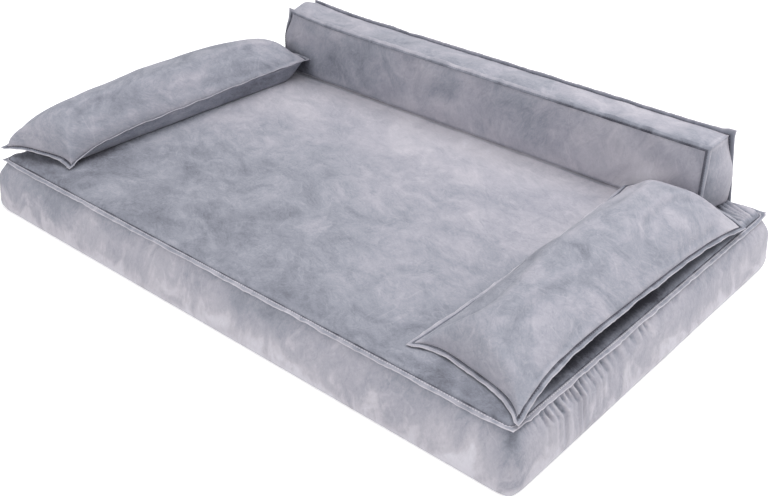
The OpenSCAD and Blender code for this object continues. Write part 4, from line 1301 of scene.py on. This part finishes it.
def crowded(count, even):
    """Places from 0 to 1 that crowd the ends, but for a share that is even."""
    k = np.arange(count + 1)
    return mix((1 - np.cos(math.pi * k / count)) / 2, k / count, even)


def corner_folds(sheet, u, v):
    """Depth of the folds that run from each corner into the top panel."""
    rng = np.random.default_rng(7)
    depth = np.zeros(u.shape)
    for corner in (sheet[0, 0], sheet[0, -1], sheet[-1, 0], sheet[-1, -1]):
        step = sheet[..., :2] - corner[:2]
        middle = sheet[sheet.shape[0] // 2, sheet.shape[1] // 2, :2] - corner[:2]
        span = np.hypot(step[..., 0], step[..., 1])
        facing = math.copysign(1, middle[0]), math.copysign(1, middle[1])
        angle = np.arctan2(step[..., 1] * facing[1], step[..., 0] * facing[0])
        for at in np.radians([10, 24, 40, 57, 74]) + rng.uniform(-0.08, 0.08, 5):
            width = 1.6 * MM + 0.06 * span
            length = rng.uniform(25, 60) * MM
            fade = smooth(3 * MM, 14 * MM, span) * (1 - smooth(0.3 * length, length, span))
            depth += rng.uniform(0.6, 1.5) * MM * fade * -crease(span * (angle - at) / width)
    edge = np.minimum(np.minimum(u, 1 - u), np.minimum(v, 1 - v))
    return depth * smooth(0, 0.03, edge)


def pillow_panels(pillow, middle, u, v):
    """The grids of the top and the under panel, and how near the under one comes to where the pillow lies."""
    sheet = pillow_sheet(pillow, middle, u, v)
    crown_z = TOP_Z + mix(*pillow["crown_shares"], v) * pillow["height"] - CLOTH_RISE
    front_u, rear_u, front_v, rear_v = pillow["bluntness"]
    top_share = swell(u, CROWN_POWERS[0]) ** mix(front_u, rear_u, smooth(0.15, 0.55, v))
    top_share = top_share * swell(v, CROWN_POWERS[1]) ** np.where(v < 0.5, front_v, rear_v)
    side_power = np.where(u < 0.5, *pillow["under_powers"])
    under_share = np.minimum(1, swell(u, side_power) * swell(v, UNDER_END_POWER) / UNDER_SHARE)
    top, under = sheet.copy(), sheet.copy()
    folds = corner_folds(sheet, u, v)
    rim = np.minimum(np.minimum(u, 1 - u), np.minimum(v, 1 - v))
    top[..., 2] = mix(sheet[..., 2], crown_z, top_share) - folds
    under[..., 2] = mix(sheet[..., 2], REST_Z, under_share) - folds - UNDER_SAG * smooth(0, 0.04, rim)
    under[..., 2] = np.maximum(under[..., 2], REST_Z)
    return top, under, under_share


def build_pillow(side):
    """Two panels that share their seam, blown up as cloth, with a flange round them."""
    pillow = PILLOWS[side]
    body = f"{side}_pillow"
    low, high = reach(f"{side}_pillow_fill")
    middle = np.array([low[0] + pillow["width"] / 2, (low[1] + high[1]) / 2, TOP_Z])
    nu, nv = PILLOW_STEPS
    u, v = np.meshgrid(crowded(nu, 0.45), crowded(nv, 0.75), indexing="ij")
    top, under, under_share = pillow_panels(pillow, middle, u, v)
    top_index = numbered(0, *top.shape[:2])
    inside = np.zeros(top.shape[:2], bool)
    inside[1:-1, 1:-1] = True
    under_index = top_index.copy()
    under_index[inside] = top_index.size + np.arange(inside.sum())
    points = np.concatenate([top.reshape(-1, 3), under[inside]])
    faces = [*grid_faces(top_index), *grid_faces(under_index, flip=True)]
    cover = make_object(f"{body}_cover", points, faces, body, body)
    is_top = np.arange(len(points)) < top_index.size
    # The top paler at its ends, and patches of tone and painted shading
    tone_and_painted_shading = pillow["front_paler"] * (1 - smooth(0, 0.3, v)) + pillow["rear_paler"] * smooth(0.88, 0.98, v)
    tone_and_painted_shading = tone_and_painted_shading.reshape(-1) + painted_shading_and_tone_patches(points[is_top], pillow["patches"])
    # Painted shade underneath, with painted light at its front edge
    under_painted_shade = mix(0.15, pillow["under_painted_shade"], smooth(0.03, 0.2, v[inside]))
    set_tone_and_painted_shading(cover, np.concatenate([tone_and_painted_shading, under_painted_shade]))
    pinned = np.concatenate([~inside.reshape(-1), under_share[inside] > 0.995])
    as_cloth(cover, pinned, pressure=3.0, slack=0.03, cap=np.where(is_top, *PILLOW_CAPS), bending=0.12)
    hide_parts(*(f"{body}_{part}" for part in ("fill", "top_panel", "bottom_panel")))
    i, k = border(nu, nv)
    on_sides = np.stack([i == 0, i == nu, k == 0, k == nv], axis=1) * 1.0
    build_pillow_flange(pillow, body, top[i, k], on_sides)


def build_pillow_flange(pillow, body, root, on_sides):
    """The flange round a pillow's seam. on_sides marks points on its left, right, front and rear side."""
    away = joined(on_sides[:, 1] - on_sides[:, 0], on_sides[:, 3] - on_sides[:, 2], 0)
    tilt = (on_sides * np.radians(pillow["tilts"])).sum(axis=1) / on_sides.sum(axis=1)
    # Each side's painted shade or painted light on its flange
    shade = (on_sides * pillow["flange_shades"]).sum(axis=1) / on_sides.sum(axis=1)
    for _ in range(TILT_ROUNDS):
        tilt = (np.roll(tilt, 1) + tilt + np.roll(tilt, -1)) / 3
    tilt = tilt[:, None]
    out = away * np.cos(tilt) + UP * np.sin(tilt)
    normal = UP * np.cos(tilt) - away / np.linalg.norm(away, axis=1)[:, None] * np.sin(tilt)
    flange = sewn_flange(
        f"{body}_edge_flange", body, root, out, normal, 0.9 * FLANGE_W, 1.1 * FLANGE_HALF, pillow["seed"],
        ripple=0.18, shade=shade,
    )
    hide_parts(f"{body}_flange")


# Zips and fastening strips

def zip_frame(prefix):
    """A zip's middle line, from its tapes: its middle, up and out directions, half length and half width."""
    low, high = reach(f"{prefix}_zip_tapes")
    bottom = np.array([0, high[1] - TAPE_THICK if prefix == "mattress" else low[1], low[2]])
    top = np.array([0, low[1], high[2]])
    width = np.linalg.norm(top - bottom)
    up = (top - bottom) / width
    out = np.cross(up, ALONG)
    out *= np.sign(out[1])
    middle = (bottom + top) / 2 + np.array([(low[0] + high[0]) / 2, 0, 0])
    return middle, up, out, (high[0] - low[0]) / 2, width / 2


def build_zip(body):
    middle, up, out, half_l, half_w = zip_frame(body)
    face = TAPE_THICK * abs(out[1])
    points, faces = [], []
    x = even_line(-half_l, half_l, 25 * MM)
    inner, bead = 0.2 * MM, 1.6 * MM
    section = (
        (inner, 0), (inner, 0.9), (bead, 1.0), (half_w * 0.6, 0.85), (half_w, 0.9), (half_w, 0),
    )
    for side in (-1, 1):
        rows = [middle + ALONG * x[:, None] + up * side * w + out * face * t for w, t in section]
        faces += tube_faces(numbered(len(points) * len(x), len(rows), len(x)), flip=side > 0)
        points += rows
    name = f"{body}_zip_woven_tapes"
    tapes = make_object(name, np.concatenate(points), faces, "tape", body)
    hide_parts(f"{body}_zip_tapes")
    build_teeth(body, middle, up, out * face, out)
    for part in ("stops", "slider", "pull"):
        rides = body if part == "stops" else f"{body}_{part}"
        worked_metal(f"{body}_zip_{part}", f"{body}_zip_worn_{part}", rides)


TOOTH_PITCH = 2.0 * MM
TOOTH_W = 1.8 * MM
TOOTH_H = 1.3 * MM
TOOTH_L = 0.992 * MM
TOOTH_LEAN = 0.5 * MM
TOOTH_LOCK = 0.35 * MM


def build_teeth(body, middle, up, face, out):
    """A nylon coil on the tapes' face: leaning teeth, from each side in turn, that lock at the middle."""
    low, high = reach(f"{body}_zip_teeth")
    points, faces = [], []
    places = np.arange(low[0] + TOOTH_PITCH / 2, high[0] - TOOTH_PITCH / 2, TOOTH_PITCH / 2)
    ring = ((-0.5, 0.0), (-0.5, 0.65), (-0.2, 1.0), (0.2, 1.0), (0.5, 0.65), (0.5, 0.0))
    block = numbered(0, 2, len(ring))
    shape = [*loop_faces(block), block[0], block[1][::-1]]
    for k, x in enumerate(places):
        side = 1 if k % 2 else -1
        base = middle * [0, 1, 1] + ALONG * x + face
        for reach_up, lean in ((-TOOTH_LOCK, 0.0), (TOOTH_W, TOOTH_LEAN)):
            for w, h in ring:
                points.append(base + ALONG * (w * TOOTH_L + lean) + up * side * reach_up + out * TOOTH_H * h)
        faces += shifted(shape, k * block.size, flip=side < 0)
    teeth = make_object(f"{body}_zip_coil", points, faces, "teeth", body, False)
    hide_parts(f"{body}_zip_teeth")


def worked_metal(node, name, body):
    """A metal fitting: the CAD node's shape with its edges rounded."""
    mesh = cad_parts[node].data.copy()
    mesh.materials.clear()
    mesh.materials.append(MATERIALS["metal"])
    piece = linked(name, mesh)
    weld = piece.modifiers.new("Weld", "WELD")
    weld.merge_threshold = 0.01 * MM
    plain = piece.modifiers.new("Plain", "DECIMATE")
    plain.decimate_type = "DISSOLVE"
    plain.angle_limit = math.radians(3)
    edge = piece.modifiers.new("Edge", "BEVEL")
    edge.width = 0.3 * MM
    edge.segments = 2
    edge.limit_method = "ANGLE"
    edge.angle_limit = math.radians(40)
    apply_modifiers(piece)
    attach(piece, body)
    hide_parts(node)


STRIP_L = 180 * MM
STRIP_COUNT = 3
STRIP_RING = 24


def build_strips(body, kind):
    """Three strips of hook or loop tape, each with rounded corners and a stitched border."""
    node, slot = f"{kind}_strips", f"{kind}_tape"
    low, high = reach(node)
    length, width, radius = STRIP_L, high[1] - low[1], 3 * MM
    pitch = (high[0] - low[0] - length) / (STRIP_COUNT - 1)
    flat = rounded_ring(length / 2, width / 2, radius, STRIP_RING, 1e-6)
    heights = ((1.0, low[2]), (1.0, mix(low[2], high[2], 0.7)), (0.995, high[2]))
    face_z, facing = (high[2], UP) if kind == "loop" else (low[2], -UP)
    points, faces = [], []
    for k in range(STRIP_COUNT):
        middle = np.array([low[0] + length / 2 + k * pitch, (low[1] + high[1]) / 2, 0])
        index = numbered(len(points) * len(flat), len(heights), len(flat))
        faces += [*loop_faces(index, flip=True), index[0][::-1], index[2]]
        points += [middle + flat * grow + UP * z for grow, z in heights]
        border_line = flat * [0.985, 0.9, 1] + middle + UP * face_z - facing * 0.3 * MM
        stitches(f"{node}_stitches_{k + 1}", body, border_line, np.tile(facing, (len(flat), 1)))
    strips = make_object(f"{node}_sewn", np.concatenate(points), faces, kind, body, False)
    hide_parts(node)


# Studio

# The camera's place in metres and its turn in degrees, fitted to the photo, and its lens in millimetres
CAMERA_AT = (1.01651, -1.14991, 0.91345)
CAMERA_TURN = (58.513, -0.479, 40.887)
CAMERA_LENS = 51.9
CAMERA_SENSOR = 36
FLOOR_HALF = 9.0
# The floor's own glow and how much light it throws back, the light that the white room gives at the horizon
# and from above, and the height of a direction where the second is reached
WHITE_GLOW = 0.4
WHITE_ALBEDO = 0.88
HORIZON_LIGHT = 0.34
SKY_LIGHT = 0.8
SKY_TOP = 0.9
# The lamps: name, place, aim, size, power
LAMPS = (
    ("key_lamp", (0.6, 0.75, 2.3), (0.1, 0.1, 0), 2.0, 36),
    ("front_lamp", (0.0, -2.9, 1.2), (0, 0, 0), 2.0, 27),
    ("side_lamp", (2.4, 0.3, 0.9), (0.4, 0, 0), 1.4, 9),
)


def white_surface():
    """A white that the camera and reflections see as lit paper, and that still takes shadows."""
    material, tree = new_material("studio_white")
    tree.nodes.remove(tree.nodes["Principled BSDF"])
    strength = math_node(tree, "MULTIPLY", seen_directly(tree), WHITE_GLOW)
    lit = add_node(tree, "ShaderNodeBsdfDiffuse", {"Color": (*[WHITE_ALBEDO] * 3, 1)})
    glowing = add_node(tree, "ShaderNodeEmission", {"Color": (1, 1, 1, 1), "Strength": strength})
    both = add_node(tree, "ShaderNodeAddShader", {0: lit.outputs[0], 1: glowing.outputs[0]})
    tree.links.new(both.outputs[0], tree.nodes["Material Output"].inputs["Surface"])
    return material


def build_studio():
    mesh = bpy.data.meshes.new("studio_floor")
    corners = [(x * FLOOR_HALF, y * FLOOR_HALF, 0) for x, y in ((-1, -1), (1, -1), (1, 1), (-1, 1))]
    mesh.from_pydata(corners, [], [(0, 1, 2, 3)])
    mesh.materials.append(white_surface())
    floor = linked("studio_floor", mesh)
    floor.location.z = -0.2 * MM
    world = bpy.data.worlds.new("studio_world")
    bpy.context.scene.world = world
    world.use_nodes = True
    tree = world.node_tree
    coords = add_node(tree, "ShaderNodeTexCoord").outputs["Generated"]
    way = add_node(tree, "ShaderNodeSeparateXYZ", {0: coords})
    sky = map_range(tree, way.outputs["Z"], 0.0, SKY_TOP, HORIZON_LIGHT, SKY_LIGHT)
    strength = math_node(tree, "MAXIMUM", seen_directly(tree), sky)
    background = tree.nodes["Background"]
    background.inputs["Color"].default_value = (1, 1, 1, 1)
    tree.links.new(strength, background.inputs["Strength"])
    for name, at, aim, size, power in LAMPS:
        lamp = bpy.data.lights.new(name, "AREA")
        lamp.shape = "DISK"
        lamp.size = size
        lamp.energy = power
        holder = linked(name, lamp)
        holder.location = at
        way = np.array(aim) - np.array(at)
        holder.rotation_euler = (
            math.atan2(math.hypot(way[0], way[1]), -way[2]), 0, math.atan2(way[1], way[0]) - math.pi / 2,
        )
    camera = bpy.data.cameras.new("camera")
    camera.lens = CAMERA_LENS
    camera.sensor_width = CAMERA_SENSOR
    camera.clip_end = 50
    stand = linked("camera", camera)
    stand.location = CAMERA_AT
    stand.rotation_euler = [math.radians(a) for a in CAMERA_TURN]
    bpy.context.scene.camera = stand
    bpy.context.scene.view_settings.view_transform = "Standard"


build_mattress()
build_base_cloth()
build_bolster()
build_pillow("left")
build_pillow("right")
run_cloth(REST_Z)
# Painted shading of the creases: darker in valleys, paler on ridges
for velvet_piece, _ in cloth_jobs:
    paint_crease_shading(velvet_piece, 1.2)
build_zip("mattress")
build_zip("bolster")
build_strips("mattress", "loop")
build_strips("bolster", "hook")
build_studio()
